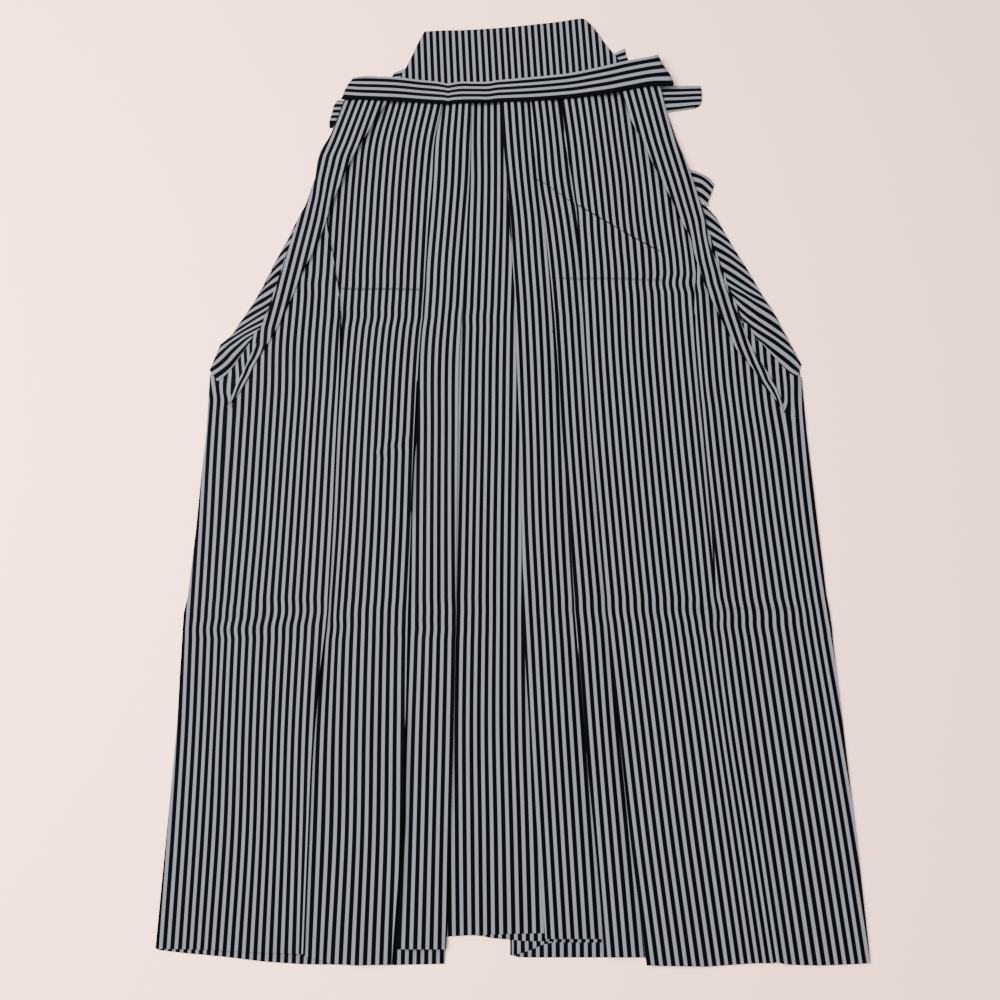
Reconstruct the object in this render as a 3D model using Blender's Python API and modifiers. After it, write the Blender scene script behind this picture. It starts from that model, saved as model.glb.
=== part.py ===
"""Striped divided hakama (umanori), laid flat on its back with the front uppermost.

Sizes are in millimetres, and become metres where a mesh is made. X runs across, Y runs from the hems up
to the waist, and Z runs up from the surface that the garment lies on. The front is seen from above, so
left and right are the viewer's. Each pleat is a real knife pleat: the upper panel turns under at its fold
edge, runs back as an underlay, turns again and goes on as the next panel.
"""

import math

import bpy
import numpy as np

MM = 0.001

# Cloth
CLOTH = 1.0  # wall of one layer
GAP = 0.3  # air between two layers, and at a seam
LAYER = CLOTH + GAP  # from the middle of one layer to the middle of the next
BACK_CLOTH = 1.2  # the back, with its hidden hems and seams pressed flat
BOARD_THICK = 3.6  # stiffened back board
BOARD_ROUND = 0.8
BAND_THICK = 2.4  # front band, cloth folded round a stiffener
FRONT_LEVEL = BACK_CLOTH + GAP + CLOTH / 2  # middle of the lowest layer of the front
FLAP_LEVEL = BACK_CLOTH + GAP + CLOTH / 2  # middle of what lies on the back
STUB_THICK = 1.6  # tie where it leaves the back board

# The line where front, back and board end under the front band: its height at the middle, and its slope.
WAIST_Y = 414
WAIST_SLOPE = 0.06

# Fold edges of the front: where each lies across, at each height y.
FOLD_Y = (440, 400, 350, 300, 250, 200, 150, 100, 0, -100, -200, -300, -400, -500)
FOLD_EDGES = {
    "outer_left": (-145, -159, -180, -196, -201, -194, -184, -183, -183, -184, -187, -194, -195, -195),
    "second_left": (-76, -78, -86, -88, -91, -93, -95, -98, -101, -103, -104, -104, -105, -110),
    "first_left": (-45, -45, -45, -46, -48, -50, -52, -55, -56, -56, -56, -57, -59, -62),
    "centre": (-11, -10, -8, -4, -1, 2, 5, 6, 9, 11, 12, 17, 24, 31),
    "first_right": (21, 23, 26, 31, 37, 42, 46, 49, 54, 60, 65, 70, 78, 85),
    "second_right": (56, 58, 62, 69, 74, 76, 78, 81, 84, 90, 96, 104, 112, 122),
    "outer_right": (128, 140, 158, 178, 196, 210, 201, 202, 203, 203, 204, 212, 225, 234),
}

# Each pleat: the part of its panel that the underlay reaches back under, the most that this may be, and
# the height of the hem on the upper panel and on the panel that comes out from under it.
PLEATS = {
    "outer_left": {"share": 0.5, "most": 8, "hem_over": -504, "hem_under": -505},
    "second_left": {"share": 0.5, "most": 30, "hem_over": -513, "hem_under": -501},
    "first_left": {"share": 0.5, "most": 30, "hem_over": -500, "hem_under": -489},
    "centre": {"share": 0.5, "most": 30, "hem_over": -490, "hem_under": -487},
    "first_right": {"share": 0.5, "most": 30, "hem_over": -507, "hem_under": -491},
    "second_right": {"share": 0.4, "most": 30, "hem_over": -514, "hem_under": -507},
    "outer_right": {"share": 0.5, "most": 8, "hem_over": -512, "hem_under": -512},
}
CENTRE_HEM_HIDDEN = -496  # hem of the middle panel where it runs on under the right leg

# Outer edge of the front, as (y, x): the side opening down to its foot, then the side seam.
FRONT_EDGE = {
    "left": (
        (440, -176), (400, -191), (350, -207), (333, -215), (300, -220), (250, -234), (200, -249),
        (150, -261), (100, -276), (50, -293), (36, -298), (29, -320), (0, -320), (-50, -322), (-100, -323),
        (-170, -326), (-188, -329), (-250, -328), (-300, -327), (-400, -329), (-500, -331),
    ),
    "right": (
        (440, 166), (400, 176), (350, 189), (300, 204), (250, 215), (200, 229), (150, 244),
        (100, 261), (50, 277), (25, 289), (18, 309), (0, 310), (-50, 312), (-100, 314),
        (-170, 317), (-188, 319), (-250, 321), (-300, 323), (-400, 327), (-500, 330),
    ),
}  # fmt: skip
SIDE_HEM = {"left": -500, "right": -512}

# Inner edge of the fold that runs down each side of the front, as (y, x), to its tip.
SIDE_FOLD_EDGE = {
    "left": (
        (440, -122), (400, -140), (350, -166), (300, -188), (250, -204), (200, -220), (150, -240),
        (100, -263), (50, -288), (40, -293),
    ),
    "right": (
        (440, 117), (400, 131), (350, 150), (300, 169), (250, 189), (200, 204), (150, 221),
        (100, 244), (60, 270), (45, 277),
    ),
}  # fmt: skip
SIDE_FOLD_TIP = 3  # its width there
SIDE_FOLD_LAST = 9  # its last full section stands at least this far above its tip

# Outline of each back leg, as (x, y), from the waist line by its side to the hem and back.
BACK_OUTLINE = {
    "left": (
        (-138, 405.4), (-17, 412.7), (-17, -100), (-63, -512), (-109, -513), (-194, -512),
        (-250, -509), (-298, -502), (-330, -499), (-328, -400), (-326, -300), (-328, -190), (-322, -100),
        (-319, 0), (-320, 50), (-323, 71), (-311, 102), (-289, 132), (-260, 200), (-228, 265),
    ),
    "right": (
        (-16.7, 412.7), (148, 422.6), (185, 350), (220, 275), (256, 200), (280, 150), (301, 100),
        (312, 78), (309, 40), (309, 0), (313, -100), (318, -200), (322, -300), (326, -400),
        (329, -511), (122, -507), (7, -507), (-2, -503), (-2, -492), (-16.7, -100),
    ),
}  # fmt: skip

# The back's side edge, turned over on to the front side: outline of each turned part, as (x, y).
FLAP_OUTLINE = {
    "left": (
        (-224.5, 270), (-200, 270), (-226, 200), (-272, 117), (-315, 62), (-322, 71), (-310.5, 102),
        (-288.5, 132), (-259.5, 200),
    ),
    "right": (
        (196, 270), (222, 270), (255.5, 200), (279.5, 150), (300.5, 100), (311, 78), (303, 68),
        (250, 134), (224, 180), (210, 215),
    ),
}  # fmt: skip

# Back board: its corners above the waist line, as (x, y).
BOARD_OUTLINE = (
    (-138.5, 406), (-124, 439), (-102, 489), (-98, 493), (82, 510), (90, 508), (121, 462), (148, 423.2),
)  # fmt: skip

# Ties where they leave the board's lower corners, as (x, y).
STUB_OUTLINE = {
    "left": ((-149, 406), (-138, 430), (-134, 441), (-125, 441.5), (-124.4, 439.6), (-139, 406)),
    "right": ((122.3, 462.6), (134, 470), (137, 454), (157, 424), (148.6, 424)),
}

# Front band, from left to right: lower edge and upper edge at each section.
BAND_COLUMNS = ("low_x", "low_y", "high_x", "high_y")
BAND_ROWS = (
    (-194, 398, -180, 424),
    (-172, 398, -166, 427),
    (-148, 398, -148, 427),
    (-120, 398, -120, 426),
    (-90, 396, -89, 423),
    (-74, 395, -74, 419),
    (-52, 396, -52, 420),
    (-29, 396, -29, 421),
    (-12, 397, -12, 424),
    (20, 398, 20, 426),
    (55, 401, 55, 432),
    (85, 404, 85, 437),
    (111, 407, 111, 443),
    (135, 411, 135, 450),
    (160, 415, 155, 454),
    (187, 419, 169, 458),
)
BAND_STEPS = 3

# Front ties, folded back on themselves: outer fold and hidden end at each height, as (y, out, inside).
FRONT_TIES = {
    "left": ((401, -198, -176), (390, -200, -175), (378, -203, -175), (367, -204, -176)),
    "right": ((420, 219, 172), (410, 220, 172), (400, 218, 172), (393, 213, 172), (387, 205, 173)),
}
TIE_LOOP = ((190, 310), (202, 312), (215, 308), (224, 301), (228, 295), (223, 283), (220, 276), (192, 276))

# Storage creases that cross the front, each a low ridge, and the rise over the turned sides of the back.
CREASES = {"upper": {"y": 165, "high": 1.0, "half": 9}, "lower": {"y": -179, "high": 1.2, "half": 9}}
SIDE_RISE = {"high": LAYER, "full": 36, "none": 62, "from_y": 60, "to_y": 100}

# Heights of the sections through the front, between the waist line and the hem.
SECTION_Y = {
    "left": (
        385, 350, 333, 300, 250, 200, 174, 165, 156, 100, 50, 36, 29, 0, -100, -170, -179, -188, -300,
        -400, -470,
    ),
    "right": (
        385, 350, 300, 250, 200, 174, 165, 156, 100, 50, 25, 18, 0, -100, -170, -179, -188, -300,
        -400, -470,
    ),
}  # fmt: skip
LEG_FOLDS = {
    "left": ("outer_left", "second_left", "first_left"),
    "right": ("outer_right", "second_right", "first_right", "centre"),
}
FOLD_STEPS = 3  # facets round a fold
RAMP_MOST = 45  # a panel climbs on to the next pleat within this width
OUTER_RAMP = 12
EDGE_STEPS = 3  # widths between the outer edge and the first climb
SIDE_FOLD_STEPS = 6  # widths across a side fold
SIDE_FOLD_REACH = 16  # each point of a side fold clears the leg this far round
BAND_REACH = 34  # the band spans what lies this near to a section of it

CLOTH_COLOUR = {"panel": (0.105, 0.112, 0.128), "band": (0.150, 0.157, 0.172), "back": (0.090, 0.096, 0.110)}
CLOTH_ROUGHNESS = 0.62


def clear_scene():
    for obj in list(bpy.data.objects):
        bpy.data.objects.remove(obj, do_unlink=True)


def cloth_material(name, tone):
    material = bpy.data.materials.new(name + "_cloth")
    material.use_nodes = True
    shader = material.node_tree.nodes["Principled BSDF"]
    shader.inputs["Base Color"].default_value = (*CLOTH_COLOUR[tone], 1)
    shader.inputs["Roughness"].default_value = CLOTH_ROUGHNESS
    shader.inputs["Metallic"].default_value = 0
    return material


def add_piece(name, data, tone, z=0.0):
    """An object of the garment at height z (mm), with its own material."""
    piece = bpy.data.objects.new(name, data)
    data.materials.append(cloth_material(name, tone))
    piece.location.z = z * MM
    piece.parent = garment
    collection.objects.link(piece)
    return piece


def smooth_step(value, start, end):
    share = min(max((value - start) / (end - start), 0.0), 1.0)
    return share * share * (3 - 2 * share)


def edge_at(table, y):
    """x of an edge given as (y, x) rows from the top down, at height y."""
    ys, xs = zip(*reversed(table))
    return float(np.interp(y, ys, xs))


def fold_at(name, y):
    """x of a fold edge at height y, on a smooth curve through its row."""
    ys = FOLD_Y[::-1]
    xs = FOLD_EDGES[name][::-1]
    slopes = np.gradient(xs, ys)
    i = int(np.clip(np.searchsorted(ys, y) - 1, 0, len(ys) - 2))
    span = ys[i + 1] - ys[i]
    t = (y - ys[i]) / span
    return float(
        xs[i] * (1 + 2 * t) * (1 - t) ** 2
        + slopes[i] * span * t * (1 - t) ** 2
        + xs[i + 1] * t * t * (3 - 2 * t)
        + slopes[i + 1] * span * t * t * (t - 1)
    )


def waist_at(x):
    return WAIST_Y + WAIST_SLOPE * x


def rise(side, x, y):
    """How far the cloth at (x, y) stands above its level: over a crease, and over the back's turned side."""
    inwards = abs(edge_at(FRONT_EDGE[side], y) - x)
    over_side = 1 - smooth_step(inwards, SIDE_RISE["full"], SIDE_RISE["none"])
    height = SIDE_RISE["high"] * over_side * smooth_step(y, SIDE_RISE["from_y"], SIDE_RISE["to_y"])
    for crease in CREASES.values():
        height += crease["high"] * (1 - smooth_step(abs(y - crease["y"]), 0, crease["half"]))
    return height


def half_turn(across, low_level, high_level, outwards, downwards):
    """Points (across, level) round a fold whose outside reaches `across`."""
    radius = (high_level - low_level) * LAYER / 2
    middle = across - outwards * (radius + CLOTH / 2)
    points = []
    for step in range(FOLD_STEPS + 1):
        angle = math.pi * step / FOLD_STEPS
        height = math.cos(angle) if downwards else -math.cos(angle)
        level = (low_level + high_level) / 2 + height * (high_level - low_level) / 2
        points.append((middle + outwards * radius * math.sin(angle), level))
    return points


def leg_section(side, y):
    """The cloth of one front leg at height y, from its outer edge in: rows of (x, level, hem height).

    Distances run inwards from the outer edge, so that both legs are worked out alike. Level 0 is the
    lowest layer, and level 2 the panel on top of a pleat.
    """
    inwards = 1 if side == "left" else -1
    start = edge_at(FRONT_EDGE[side], y) * inwards
    hem = SIDE_HEM[side]
    rows = [(start, 0.0, hem)]
    came_out = start
    for name in LEG_FOLDS[side]:
        pleat = PLEATS[name]
        edge = fold_at(name, y) * inwards
        outer = came_out == start
        depth = min(pleat["share"] * (edge - came_out), pleat["most"])
        inner = edge - depth
        climb_end = inner - CLOTH
        climb_start = max(came_out + CLOTH, climb_end - (OUTER_RAMP if outer else RAMP_MOST))
        if outer:
            for step in range(1, EDGE_STEPS):
                at = start + (climb_start - start) * step / EDGE_STEPS
                rows.append((at, 0.0, hem))
        over = pleat["hem_over"]
        climbing = ((climb_start, 0.0), ((climb_start + climb_end) / 2, 1.0), (climb_end, 2.0))
        for at, level in climbing:
            share = (at - came_out) / (edge - came_out)
            rows.append((at, level, hem + (over - hem) * share))
        rows += [(at, level, over) for at, level in half_turn(edge, 1, 2, 1, True)]
        halfway = (over + pleat["hem_under"]) / 2
        if name == "centre":
            rows.append((inner, 1.0, halfway))
            break
        rows += [(at, level, halfway) for at, level in half_turn(inner, 0, 1, -1, True)]
        rows.append((edge, 0.0, pleat["hem_under"]))
        hem = pleat["hem_under"]
        came_out = edge
    if side == "left":
        centre = fold_at("centre", y)
        rows.append((centre, 0.0, PLEATS["centre"]["hem_under"]))
        rows.append((centre + centre_depth(y), 0.0, CENTRE_HEM_HIDDEN))
    return [(at * inwards, level, hem_y) for at, level, hem_y in rows]


def centre_depth(y):
    """How far the middle panel runs on under the right leg's first panel."""
    pleat = PLEATS["centre"]
    return min(pleat["share"] * (fold_at("first_right", y) - fold_at("centre", y)), pleat["most"])


def cloth_height(side, x, y, level):
    return FRONT_LEVEL + level * LAYER + rise(side, x, y)


def leg_rows(side):
    """Sections of a front leg from the waist line to the hem, as rows of points (x, y, z)."""
    sections = []
    first = leg_section(side, WAIST_Y)
    tops = [waist_at(x) for x, _, _ in first]
    hems = [hem_y for _, _, hem_y in first]
    heights = [tops, *([y] * len(first) for y in SECTION_Y[side]), hems]
    for ys in heights:
        row = []
        for i, y in enumerate(ys):
            x, level, _ = leg_section(side, y)[i]
            row.append((x, y, cloth_height(side, x, y, level)))
        sections.append(row)
    return sections


def top_of_leg(side, x, y, reach):
    """Middle height of the highest layer of a front leg within `reach` of x, at height y."""
    points = [(at, cloth_height(side, at, y, level)) for at, level, _ in leg_section(side, y)]
    highest = 0.0
    for (x0, z0), (x1, z1) in zip(points, points[1:]):
        low, high = sorted((x0, x1))
        if low <= x + reach and high >= x - reach:
            highest = max(highest, z0, z1)
    return highest


def side_fold_rows(side):
    """The fold down one side of the front, made from the leg's points and moved out by one layer."""
    table = SIDE_FOLD_EDGE[side]
    tip_y = table[-1][0]
    inwards = 1 if side == "left" else -1
    between = [y for y in SECTION_Y[side] if y > tip_y + SIDE_FOLD_LAST]
    sections = []
    for y in (waist_at(FRONT_EDGE[side][0][1]), *between, tip_y):
        outer = edge_at(FRONT_EDGE[side], y)
        width = max(SIDE_FOLD_TIP, abs(edge_at(table, y) - outer))
        row = []
        for step in range(SIDE_FOLD_STEPS + 1):
            x = outer + inwards * width * step / SIDE_FOLD_STEPS
            row.append((x, y, top_of_leg(side, x, y, SIDE_FOLD_REACH) + LAYER))
        sections.append(row)
    return sections


def top_at_waist(x, y):
    """Upper face of whatever the front band lies on about (x, y)."""
    height = 0.0
    for side in ("left", "right"):
        below = top_of_leg(side, x, y, BAND_REACH)
        ends = sorted((edge_at(FRONT_EDGE[side], y), edge_at(SIDE_FOLD_EDGE[side], y)))
        if ends[0] - BAND_REACH <= x <= ends[1] + BAND_REACH:
            below += LAYER
        height = max(height, below)
    return max(height + CLOTH / 2, BOARD_THICK)


def band_rows():
    sections = []
    for values in BAND_ROWS:
        at = dict(zip(BAND_COLUMNS, values))
        middle = (at["low_x"] + at["high_x"]) / 2
        z = max(top_at_waist(middle, y) for y in (at["low_y"], waist_at(middle))) + GAP + BAND_THICK / 2
        row = []
        for step in range(BAND_STEPS + 1):
            share = step / BAND_STEPS
            x = at["low_x"] + (at["high_x"] - at["low_x"]) * share
            y = at["low_y"] + (at["high_y"] - at["low_y"]) * share
            row.append((x, y, z))
        sections.append(row)
    return sections


def tie_rows(side):
    """A front tie folded back on itself, its two layers one above the other on the surface."""
    outwards = -1 if side == "left" else 1
    sections = []
    for y, out, inside in FRONT_TIES[side]:
        turn = half_turn(out, 0, 1, outwards, False)
        row = [(inside, y, CLOTH / 2)]
        row += [(x, y, CLOTH / 2 + level * LAYER) for x, level in turn]
        row.append((inside, y, CLOTH / 2 + LAYER))
        sections.append(row)
    return sections


def cloth_wall(name, sections, thick, tone):
    """A wall of cloth on the surface through the sections' points."""
    count = len(sections[0])
    points = [(x * MM, y * MM, z * MM) for row in sections for x, y, z in row]
    faces = [
        (r * count + i, r * count + i + 1, (r + 1) * count + i + 1, (r + 1) * count + i)
        for r in range(len(sections) - 1)
        for i in range(count - 1)
    ]
    mesh = bpy.data.meshes.new(name)
    mesh.from_pydata(points, [], faces)
    mesh.shade_smooth()
    piece = add_piece(name, mesh, tone)
    wall = piece.modifiers.new("Wall", "SOLIDIFY")
    wall.thickness = thick * MM
    wall.offset = 0
    wall.use_even_offset = True
    wall.use_quality_normals = True
    return piece


def flat_piece(name, outline, thick, z, tone, rounded=0.0):
    """A flat piece with this outline, its middle at height z."""
    curve = bpy.data.curves.new(name, "CURVE")
    curve.dimensions = "2D"
    curve.fill_mode = "BOTH"
    curve.extrude = (thick / 2 - rounded) * MM
    curve.bevel_depth = rounded * MM
    curve.bevel_resolution = 1
    curve.offset = -rounded * MM
    spline = curve.splines.new("POLY")
    spline.points.add(len(outline) - 1)
    for point, (x, y) in zip(spline.points, outline):
        point.co = (x * MM, y * MM, 0, 1)
    spline.use_cyclic_u = True
    return add_piece(name, curve, tone, z)


clear_scene()
collection = bpy.data.collections.new("striped_hakama")
bpy.context.scene.collection.children.link(collection)
garment = bpy.data.objects.new("hakama", None)
collection.objects.link(garment)

for side in ("left", "right"):
    flat_piece("back_leg_" + side, BACK_OUTLINE[side], BACK_CLOTH, BACK_CLOTH / 2, "back")
    flat_piece("back_side_fold_" + side, FLAP_OUTLINE[side], CLOTH, FLAP_LEVEL, "panel")
    flat_piece("back_tie_" + side, STUB_OUTLINE[side], STUB_THICK, STUB_THICK / 2, "band")
    cloth_wall("front_tie_" + side, tie_rows(side), CLOTH, "band")
    cloth_wall("front_leg_" + side, leg_rows(side), CLOTH, "panel")
    cloth_wall("front_side_fold_" + side, side_fold_rows(side), CLOTH, "panel")
flat_piece("front_tie_loop", TIE_LOOP, CLOTH, FLAP_LEVEL, "band")
flat_piece("back_board", BOARD_OUTLINE, BOARD_THICK, BOARD_THICK / 2, "panel", BOARD_ROUND)
cloth_wall("front_band", band_rows(), BAND_THICK, "band")
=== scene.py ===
import functools
import math

import bpy
import numpy as np
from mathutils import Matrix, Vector
from mathutils.bvhtree import BVHTree


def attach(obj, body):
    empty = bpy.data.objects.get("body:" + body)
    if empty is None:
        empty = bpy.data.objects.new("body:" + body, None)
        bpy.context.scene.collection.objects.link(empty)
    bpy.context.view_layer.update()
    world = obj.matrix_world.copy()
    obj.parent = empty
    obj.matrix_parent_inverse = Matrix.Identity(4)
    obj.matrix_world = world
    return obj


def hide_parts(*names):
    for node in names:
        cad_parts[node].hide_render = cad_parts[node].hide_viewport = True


# Striped hakama laid flat. Places and sizes are in millimetres and become metres in the meshes:
# x runs across, y from the hems up to the waist, z up from the floor.
mm = 0.001
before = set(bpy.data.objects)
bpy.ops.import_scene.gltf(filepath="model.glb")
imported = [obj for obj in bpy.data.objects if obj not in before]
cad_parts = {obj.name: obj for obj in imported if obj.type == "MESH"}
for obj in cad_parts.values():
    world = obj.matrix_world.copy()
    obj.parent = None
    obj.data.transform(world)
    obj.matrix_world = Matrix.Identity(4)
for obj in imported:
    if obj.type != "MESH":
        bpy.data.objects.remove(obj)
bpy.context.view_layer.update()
print("frame loaded")

eye = {"x": -11.7, "y": -323.7, "z": 1000.0, "tilt": 14.2, "lens": 36, "sensor": 36}

silk = {
    "light": "#B0B6C2",  # undyed silver grey stripe
    "lightWarm": "#B2B3BC",  # the same thread, a little yellower with age
    "dark": "#05070E",  # blue black stripe
    "repeat": 7.45,  # mm from one light stripe to the next
    "lightShare": 0.44,  # of a repeat
    "edge": 0.09,  # of a repeat, over which one colour gives way to the other
    "thick": 0.5,  # mm, one layer
    "layer": 1.3,  # mm, from one layer to the next where cloth is folded
    "streakWide": 0.9,  # mm: thread streaks, three times coarser than real so that they show
    "streakLong": 60,
    "streakRange": (0.3, 0.7),  # of the noise, from the darkest to the lightest streak
    "streakTone": (0.93, 1.06),
    "batchWide": 0.8,  # batches of yarn: changes of hue to a stripe, and mm along it
    "batchLong": 350,
    "batchRange": (0.35, 0.65),
    "rib": 1.2,  # mm between weft ribs, 0.35 in the real cloth, wider here to show up close
    "ribShare": 0.35,  # of the ribs in the relief, beside the streaks
    "relief": 0.06,
    "reliefDepth": 0.1,  # mm
    "rough": 0.6,
    "sheen": 0.02,
    "sheenRough": 0.4,
    "gloss": 0.07,
}
inward = {"left": 1, "right": -1}  # which way x runs from each side to the middle


def linearColour(code):
    values = [int(code[i : i + 2], 16) / 255 for i in (1, 3, 5)]
    return [v / 12.92 if v <= 0.04045 else ((v + 0.055) / 1.055) ** 2.4 for v in values] + [1.0]


def smooth(value, start, end):
    share = min(max((value - start) / (end - start), 0.0), 1.0)
    return share * share * (3 - 2 * share)


def along(points, at):
    # straight between (at, value) rows, whichever way they run
    rows = sorted(points)
    return float(np.interp(at, [r[0] for r in rows], [r[1] for r in rows]))


def curve(places, values, at):
    # smooth curve through values given at places that only rise or only fall
    ys, xs = (places, values) if places[0] < places[-1] else (places[::-1], values[::-1])
    slopes = np.gradient(xs, ys)
    i = int(np.clip(np.searchsorted(ys, at) - 1, 0, len(ys) - 2))
    span = ys[i + 1] - ys[i]
    t = (at - ys[i]) / span
    if t < 0:
        return float(xs[i] + slopes[i] * (at - ys[i]))
    if t > 1:
        return float(xs[i + 1] + slopes[i + 1] * (at - ys[i + 1]))
    return float(
        xs[i] * (1 + 2 * t) * (1 - t) ** 2
        + slopes[i] * span * t * (1 - t) ** 2
        + xs[i + 1] * t * t * (3 - 2 * t)
        + slopes[i + 1] * span * t * t * (t - 1)
    )


def evenly(points, steps):
    # points at even steps along a smooth line through the given ones
    spots = np.array(points, float)
    lengths = np.concatenate([[0], np.cumsum(np.hypot(*np.diff(spots, axis=0).T))])
    return [
        tuple(curve(lengths, spots[:, k], lengths[-1] * i / steps) for k in (0, 1)) for i in range(steps + 1)
    ]


def drawnIn(x, y, z):
    # places were measured along the floor as seen from the eye, so what stands higher is drawn in
    share = z / eye["z"]
    return (x + (eye["x"] - x) * share, y + (eye["y"] - y) * share, z)


rounding = {"steps": 3, "angle": 55}  # rounded edges: steps, and the least angle that is rounded


def clothPiece(name, rows, thick, slot, nodes, flip=False, measured=True, bevel=0.0):
    # a thin wall of cloth through rows of (x, y, z, stripe count, length, share of painted shade).
    # The counts and lengths become its first UV map, the shares its second
    count = len(rows[0])
    points = [p for row in rows for p in row]
    places = [drawnIn(*p[:3]) if measured else p[:3] for p in points]
    faces = []
    for r in range(len(rows) - 1):
        for i in range(count - 1):
            a = r * count + i
            face = (a, a + count, a + count + 1, a + 1)
            faces.append(face[::-1] if flip else face)
    mesh = bpy.data.meshes.new(name)
    mesh.from_pydata([(x * mm, y * mm, z * mm) for x, y, z in places], [], faces)
    mesh.shade_smooth()
    corners = np.empty(len(mesh.loops), np.int32)
    mesh.loops.foreach_get("vertex_index", corners)
    maps = {
        "grain": [p[3:5] for p in points],
        "shade": [(p[5] if len(p) > 5 else 0.0, 0.0) for p in points],
    }
    for mapName, values in maps.items():
        mesh.uv_layers.new(name=mapName)
        mesh.uv_layers[mapName].data.foreach_set("uv", np.array(values, np.float32)[corners].ravel())
    mesh.materials.append(cloths[slot])
    piece = bpy.data.objects.new(name, mesh)
    bpy.context.scene.collection.objects.link(piece)
    wall = piece.modifiers.new("wall", "SOLIDIFY")
    wall.thickness = thick * mm
    wall.offset = 0
    wall.use_even_offset = False
    if bevel:
        soft = piece.modifiers.new("softEdge", "BEVEL")
        soft.width = bevel * mm
        soft.segments = rounding["steps"]
        soft.limit_method = "ANGLE"
        soft.angle_limit = math.radians(rounding["angle"])
    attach(piece, "root")
    if nodes:
        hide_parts(*nodes)
    return piece


def newMaterial(name):
    material = bpy.data.materials.new(name)
    material.use_nodes = True
    material.node_tree.nodes.clear()
    return material, material.node_tree


def addNode(tree, kind, settings=None, **links):
    # a node with its settings, and what each named socket is linked to
    node = tree.nodes.new("ShaderNode" + kind)
    for key, value in (settings or {}).items():
        if isinstance(key, str) and hasattr(node, key):
            setattr(node, key, value)
        else:
            node.inputs[key].default_value = value
    for key, source in links.items():
        tree.links.new(source, node.inputs[int(key[1:]) if key[0] == "_" else key])
    return node


def calc(tree, operation, *values):
    # a maths node on numbers and sockets
    node = addNode(tree, "Math", {"operation": operation})
    for i, value in enumerate(values):
        if isinstance(value, bpy.types.NodeSocket):
            tree.links.new(value, node.inputs[i])
        else:
            node.inputs[i].default_value = value
    return node.outputs[0]


def ranged(tree, value, start, end, low=0, high=1, kind="LINEAR"):
    # a value carried over from start and end to low and high
    settings = {"From Min": start, "From Max": end, "To Min": low, "To Max": high}
    return addNode(tree, "MapRange", {"interpolation_type": kind, **settings}, Value=value).outputs[0]


def blend(tree, share, first, second):
    # one colour giving way to another, each of them a code or a socket
    node = addNode(tree, "Mix", {"data_type": "RGBA"}, Factor=share)
    for i, colour in ((6, first), (7, second)):
        if isinstance(colour, str):
            node.inputs[i].default_value = linearColour(colour)
        else:
            tree.links.new(colour, node.inputs[i])
    return node.outputs[2]


# Sharp lines of the storage creases, with painted shade along them: ends, half width and share of shade.
creaseColumns = ("x0", "y0", "x1", "y1", "half", "lost")
creaseLines = (
    (-190, 167, -92, 164.5, 1.6, 0.6),
    (50, 178.5, 172, 177.5, 2, 0.42),
    (22, 306, 72, 269, 0.8, 0.75),
    (70, 270.5, 121, 237, 1, 0.95),
    (119, 238.5, 168, 210, 1, 0.95),
    (150, -183, 292, -183, 1.4, 0.2),
)
# How far a crease's painted shade reaches in half widths and fades in at its ends, and its height, in mm.
creaseFade = {"reach": 1.6, "ends": 8, "level": 3}


def paintedCreaseShade(tree):
    # how much painted shade each sharp crease lays on a point, by its distance from the crease's line
    place = addNode(tree, "TexCoord").outputs["Object"]
    fade = creaseFade["ends"] * mm
    total = None
    for values in creaseLines:
        c = dict(zip(creaseColumns, values))
        x0, y0, _ = drawnIn(c["x0"], c["y0"], creaseFade["level"])
        x1, y1, _ = drawnIn(c["x1"], c["y1"], creaseFade["level"])
        length = math.hypot(x1 - x0, y1 - y0) * mm
        turned = (0, 0, math.atan2(y1 - y0, x1 - x0))
        settings = {"vector_type": "TEXTURE", "Location": (x0 * mm, y0 * mm, 0), "Rotation": turned}
        line = addNode(tree, "Mapping", settings, Vector=place)
        way, off, _ = addNode(tree, "SeparateXYZ", _0=line.outputs[0]).outputs
        off = calc(tree, "ABSOLUTE", off)
        amount = None
        for source, start, end, low, high in (
            (off, 0, creaseFade["reach"] * c["half"] * mm, c["lost"], 0),
            (way, 0, fade, 0, 1),
            (way, length - fade, length, 1, 0),
        ):
            part = ranged(tree, source, start, end, low, high, "SMOOTHSTEP")
            amount = part if amount is None else calc(tree, "MULTIPLY", amount, part)
        total = amount if total is None else calc(tree, "MAXIMUM", total, amount)
    return total


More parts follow.
